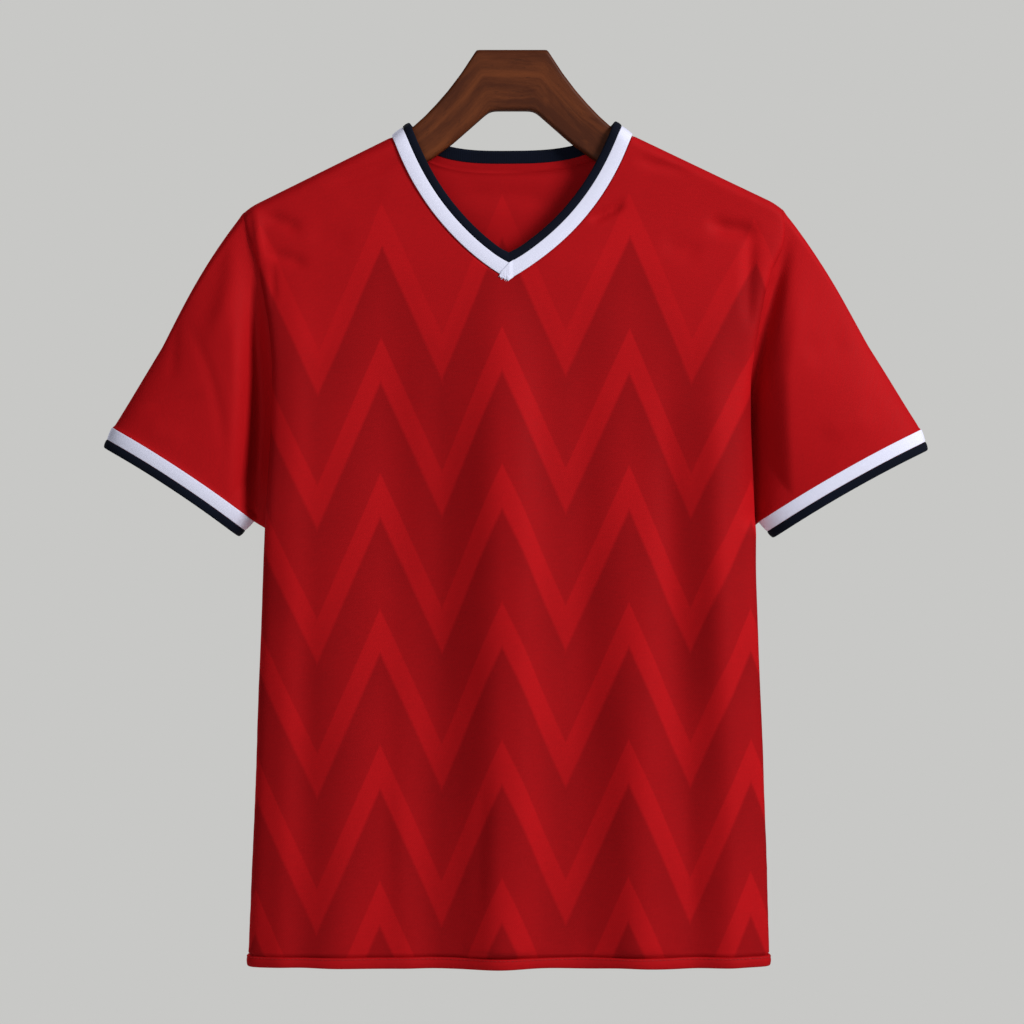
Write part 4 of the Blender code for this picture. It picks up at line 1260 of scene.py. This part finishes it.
def add_sleeve(cuff, ring, turns, material):
    """A sleeve, with its creases, the folds that run on from the front, and puckers along its seams."""
    grid = sleeve(cuff, ring, turns)
    out = 1 if cuff.side == "left" else -1
    mouth = grid.seam[-1:] - grid.seam
    above_cuff = mouth - CUFF_WHITE
    reach = smooth(np.sin(turns) / VALLEY_TURN) * smooth(above_cuff / CREASE_FADE)
    near = 1 - smooth(grid.seam / ROLL_SLEEVE)
    grid.points[..., 1] += (valley(grid.points) + rolled(grid.points, 0.0) * near) * reach
    normals = normals_of(grid.points, True, -out)
    x, z = grid.points[..., 0], grid.points[..., 2]
    fade = smooth(grid.seam / CREASE_FADE) * smooth(above_cuff / CREASE_FADE)
    in_front = np.sin(turns)[None]
    push = creased(SLEEVE_CREASES[cuff.side], x, z) * smooth(in_front / SLEEVE_SIDE)
    push += creased(SLEEVE_BACK_CREASES[cuff.side], x, z) * smooth(-in_front / SLEEVE_SIDE)
    push = (push + uneven(grid.points)) * fade + puckered(grid.points, np.minimum(grid.seam, mouth))
    push *= smooth(above_cuff / CUFF_STILL)
    push -= BAND_DIP * (1 - smooth(above_cuff / BAND_DIP_REACH))
    piece = wall(f"sleeve_{cuff.side}_cloth", grid, normals, True, -out, push, material)
    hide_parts("sleeve_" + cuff.side)
    return piece


def add_bands(owner, ring, white_deep, navy_deep, white, navy, sewing):
    """A white strip with its stitches and the navy band beyond it, round a neck or cuff."""
    place, _, side = owner.partition("_")
    ending = "_" + side if side else ""
    half_gap, navy_end = SEAM_GAP / 2, white_deep + navy_deep
    flat = strip_profile(0.0, white_deep - half_gap, STRIP_LOW, STRIP_HIGH)
    folded = binding_profile(white_deep + half_gap, navy_end, BAND_INSIDE, STRIP_HIGH + NAVY_PROUD)
    strip = band(f"{place}_white{ending}_band", ring, flat, white)
    edge = band(f"{place}_navy{ending}_band", ring, folded, navy)
    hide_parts(f"{place}_white{ending}")
    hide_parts(f"{place}_navy{ending}")
    line = ring.points + ring.rises * STITCH_IN + ring.outs * (STRIP_HIGH - STITCH_SUNK)
    row = stitch_row(f"{place}_stitches{ending}", line, ring.outs, BAND_STITCH, sewing)
    return strip, edge, row


def tube_faces(tubes, stations, sides):
    """Faces of closed tubes whose points are listed tube by tube, and ring by ring from end to end."""
    faces = []
    for tube in range(tubes):
        first = tube * stations * sides
        for ring in range(first, first + (stations - 1) * sides, sides):
            for i in range(sides):
                j = (i + 1) % sides
                faces.append((ring + i, ring + j, ring + sides + j, ring + sides + i))
        last = first + (stations - 1) * sides
        faces += [tuple(range(first + sides - 1, first - 1, -1)), tuple(range(last, last + sides))]
    return faces


def tubes(middles, outs, radii, sides):
    """Points of tubes along the middles, whose radius is given at every station."""
    along = unit(np.gradient(middles, axis=1))
    aside = unit(np.cross(along, outs))
    upright = np.cross(aside, along)
    turns = np.linspace(0, math.tau, sides, endpoint=False)
    rings = upright[:, :, None] * np.cos(turns)[:, None] + aside[:, :, None] * np.sin(turns)[:, None]
    return (middles[:, :, None] + rings * radii[..., None, None]).reshape(-1, 3)


def stitch_row(name, path, outs, stitch, material):
    """A closed row of machine stitches, whose ends go down into the cloth."""
    run = run_along(looped(path))
    count = round(run[-1] / (stitch.long + stitch.gap))
    form = np.array(STITCH_FORM)
    at = (np.arange(count)[:, None] * run[-1] / count + form[:, 0] * stitch.long) % run[-1]
    found = np.stack([np.interp(at, run, column) for column in looped(np.hstack([path, outs])).T], axis=-1)
    out = unit(found[..., 3:])
    middles = found[..., :3] + out * (form[:, 2] * stitch.thick)[None, :, None]
    radii = np.tile(form[:, 1] * stitch.thick / 2, (count, 1))
    points = tubes(middles, out, radii, STITCH_SIDES)
    return new_piece(name, points, tube_faces(count, len(form), STITCH_SIDES), None, material)


def lap(ring, material):
    """The white strip's cut end, which lies over the other strip at the V's point. Its foot is frayed."""
    near = [i % len(ring.points) for i in range(-LAP_NEAR, LAP_NEAR + 1)]
    deep = np.linspace(LAP_UNDER[0], COLLAR_WHITE, LAP_UNDER[1])[:, None, None]
    swell = STRIP_HIGH + CROWN * np.sin(math.pi * np.clip(deep / COLLAR_WHITE, 0, 1))
    strip = (ring.points[near] + ring.rises[near] * deep + ring.outs[near] * swell).reshape(-1, 3)
    point, out = ring.points[0], ring.outs[0]
    x = np.linspace(LAP_EDGE[-1][0] + LAP_INSET, LAP_REACH, LAP_COLUMNS)
    edge, foot = np.array(LAP_EDGE)[::-1], np.array(LAP_FOOT)
    top = np.where(x < edge[-1][0], np.interp(x, *edge.T), edge[-1][1] + LAP_TOP * x)
    low = np.interp(x, *foot.T)
    share = np.linspace(0, 1, LAP_ROWS)[:, None]
    z = low + (top - low) * share
    x = np.broadcast_to(x, z.shape)
    away = np.hypot(strip[:, 0] - point[0] - x[..., None], strip[:, 2] - point[2] - z[..., None])
    weight = 1.0 / (away**4 + LAP_BLEND)
    y = (weight * strip[:, 1]).sum(axis=2) / weight.sum(axis=2)
    to_foot, to_edge = z - low, np.where(x < 0, top - z, 1.0)
    rise = LAP_THICK * cap(to_foot + LAP_LEAST, LAP_ROUND[0]) * cap(to_edge + LAP_LEAST, LAP_ROUND[1])
    rise *= smooth((LAP_REACH - x) / LAP_REACH)
    from_corner = np.hypot(x - LAP_CORNER[0], z - LAP_CORNER[1])
    size, height = LAP_LUMPS
    lumps = noise_at(np.stack([x / size, z / size, np.full(x.shape, 3.0)], axis=2).reshape(-1, 3))
    fade = smooth((LAP_CORNER_END - from_corner) / LAP_CORNER_FADE)
    rise += fade * np.abs(lumps.reshape(x.shape)) * height
    flat = np.stack([point[0] + x, y, point[2] + z], axis=2)
    upper, under = flat + out * rise[..., None], flat - out * LAP_SUNK
    return two_sided("collar_lap", upper, under, np.stack([x, z], axis=2), 1, material)


def frayed_ends(ring, material):
    """Loose yarn ends that stick out of the lap's corner."""
    chance = random.Random(FRAY_SEED)
    point, out = ring.points[0], ring.outs[0]
    middles = []
    for share in np.linspace(0, 1, FRAY_THREADS):
        pairs = (FRAY_ROOTS, FRAY_WAYS)
        root, way = (np.array(first) + np.array(change) * share for first, change in pairs)
        way = way + [chance.uniform(*FRAY_X), chance.uniform(*FRAY_Z)]
        long, curl = chance.uniform(*FRAY_LONG), chance.uniform(*FRAY_CURL)
        steps = np.linspace(-FRAY_SUNK, 1, len(FRAY_TAPER))[:, None]
        bent = root + way * steps * long + np.array([-way[1], way[0]]) * curl * steps**2
        lift = STRIP_HIGH + FRAY_RISE - FRAY_FALL * steps + chance.uniform(*FRAY_LIFT)
        middles.append(point + np.insert(bent, 1, 0.0, axis=1) + out * lift)
    middles = np.array(middles)
    radii = np.tile(FRAY_THICK / 2 * np.array(FRAY_TAPER), (FRAY_THREADS, 1))
    points = tubes(middles, np.broadcast_to(out, middles.shape), radii, STITCH_SIDES)
    faces = tube_faces(FRAY_THREADS, len(FRAY_TAPER), STITCH_SIDES)
    return new_piece("collar_frayed_ends", points, faces, None, material)


def hanger_cuts():
    """Upper and lower end of each cross-cut of the hanger, from its +X end to its -X end."""
    cuts = []
    for side in (1, -1):
        half = []
        for rung in HANGER_RUNGS:
            top = rung.z if rung.z is not None else shoulder_z(side * rung.x) - HANGER_REST
            half.append((side * rung.x, top, side * rung.under_x, rung.under_z))
        cuts += half[::-1] if side == 1 else half[1:]
    cuts = np.array(cuts, float)
    along = run_along((cuts[:, :2] + cuts[:, 2:]) / 2)
    at = np.linspace(0, along[-1], round(along[-1] / HANGER_STEP) + 1)
    cuts = np.stack([np.interp(at, along, column) for column in cuts.T], axis=1)
    away = np.arange(-SOFT_STEPS, SOFT_STEPS + 1) * HANGER_STEP
    for i, soft in enumerate((HEAD_SOFT, HEAD_SOFT, ARCH_SOFT, ARCH_SOFT)):
        kernel = np.exp(-((away / soft) ** 2) / 2)
        padded = np.pad(cuts[:, i], SOFT_STEPS, "reflect", reflect_type="odd")
        cuts[:, i] = np.convolve(padded, kernel / kernel.sum(), "valid")
    return cuts


def hanger_bar(material):
    """The hanger: one flat bar with rounded long edges."""
    cuts = hanger_cuts()
    top, under = (np.insert(cuts[:, i : i + 2], 1, 0.0, axis=1) for i in (0, 2))
    middle, up = (top + under) / 2, unit(top - under)
    half = np.linalg.norm(top - under, axis=1) / 2
    along = run_along(middle)
    deep = HANGER_THICK / 2
    points, grain = [], []
    for place, rise, high, run in zip(middle, up, half, along):
        r = min(HANGER_EDGE, EDGE_SHARE * high)
        inner, flat = high - r, deep - r
        faces = np.linspace(1, -1, HANGER_FACE_PARTS + 1)[1:-1] * inner
        ring = [
            *corner((inner, flat), r, 0, 90),
            *[(p, deep) for p in faces],
            *corner((-inner, flat), r, 90, 180),
            *corner((-inner, -flat), r, 180, 270),
            *[(-p, -deep) for p in faces],
            *corner((inner, -flat), r, 270, 360),
        ]
        points += [place + rise * p + np.array([0.0, q, 0.0]) for p, q in ring]
        grain += [(run - along[-1] / 2, p, q) for p, q in ring]
    faces = tube_faces(1, len(cuts), len(ring))
    places = [grain[i] for face in faces for i in face]
    piece = new_piece("hanger_bar", points, faces, places, material, "grain")
    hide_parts("hanger")
    return piece


# ---- building the jersey ----
def main():
    """The hanger, the panels on it, the sleeves with their cuffs, the collar and the hem."""
    zigzag_red = red_knit("scarlet_polyester_interlock_zigzag", True)
    plain_red = red_knit("scarlet_polyester_interlock", False)
    white = rib_knit("white_cotton_rib", *WHITE_RIB, specular=0.12, high=0.015)
    navy = rib_knit("navy_cotton_rib", *NAVY_RIB, specular=0.05, high=0.07)
    white_thread = thread("white_spun_polyester_thread", *WHITE_THREAD)
    red_thread = thread("scarlet_spun_polyester_thread", *RED_THREAD)
    trims = (white, navy, white_thread)

    hanger = hanger_bar(oiled_walnut())
    front, back = panel("front"), panel("back")
    neck, columns, places = around_neck(front, back)
    panels = [
        add_panel("front", front, neck, columns, places["front"], FRONT_CREASES, zigzag_red),
        add_panel("back", back, neck, columns, places["back"], BACK_CREASES, zigzag_red),
    ]

    for cuff, column in zip(CUFFS, (0, -1)):
        ring = armhole(front, back, column)
        turns = sleeve_turns(ring)
        tube = add_sleeve(cuff, ring, turns, plain_red)
        bands = add_bands("cuff_" + cuff.side, cuff_ring(cuff, turns), CUFF_WHITE, CUFF_NAVY, *trims)

    bands = add_bands("collar", neck, COLLAR_WHITE, COLLAR_NAVY, *trims)
    extras = [bands[2], lap(neck, white), frayed_ends(neck, white_thread)]

    ring = hem_ring(front, back)
    along = run_along(ring.points)
    turn = math.tau * along / along[-1]
    times, most = HEM_DRIFT
    wave = 1 + HEM_WAVE * np.sin(HEM_WAVES * turn + math.tau * most * np.sin(times * turn))
    fold = band("hem_fold", ring, hem_profile(SEAM_GAP, HEM_DEEP), plain_red, wave)
    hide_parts("hem")
    line = ring.points + ring.rises * STITCH_IN + ring.outs * (HEM_FACES[1] + HEM_CROWN / 2)
    row = stitch_row("hem_stitches", line, ring.outs, HEM_STITCH, red_thread)


# ---- studio ----
def studio():
    """A pale floor well below the hem, soft light from the upper right, and a camera straight in front."""
    scene = bpy.context.scene
    scene.view_settings.view_transform = "Standard"
    made, add = start_material("pale_floor")
    tone = add("TexNoise", add("TexCoord", output="Object"), named={"Scale": FLOOR_MOTTLE})
    pale = add("Mix", tone, named={6: linear("#C4C4C2"), 7: linear("#CCCCCA")}, data_type="RGBA", output=2)
    add("OutputMaterial", add("BsdfDiffuse", pale))
    bpy.ops.mesh.primitive_circle_add(
        vertices=FLOOR_SIDES, radius=FLOOR_RADIUS, fill_type="NGON", location=(0, 0, FLOOR_Z)
    )
    floor = bpy.context.object
    floor.name = "floor"
    floor.data.materials.append(made)

    world = bpy.data.worlds.new("studio")
    scene.world = world
    world.use_nodes = True
    world.node_tree.nodes.clear()
    add = partial(node, world.node_tree)
    seen = add("Background", linear("#C8C8C6"), 1.0)
    cast = add("Background", linear("#EEF0F4"), WORLD_LIGHT)
    camera_ray = add("LightPath", output="Is Camera Ray")
    add("OutputWorld", add("MixShader", camera_ray, cast, seen))

    for lamp in LAMPS:
        data = bpy.data.lights.new(lamp.name, "AREA")
        data.energy, data.size = lamp.watts, lamp.size
        made = bpy.data.objects.new(lamp.name, data)
        made.location = lamp.place
        way = Vector(LAMP_TARGET) - Vector(lamp.place)
        made.rotation_euler = way.to_track_quat("-Z", "Y").to_euler()
        made.visible_glossy = lamp.name != "back"
        scene.collection.objects.link(made)

    data = bpy.data.cameras.new("camera")
    data.lens, data.sensor_width = CAMERA_LENS, CAMERA_SENSOR
    camera = bpy.data.objects.new("camera", data)
    camera.location = CAMERA_PLACE
    camera.rotation_euler = (math.pi / 2, 0.0, 0.0)
    scene.collection.objects.link(camera)
    scene.camera = camera


main()
studio()
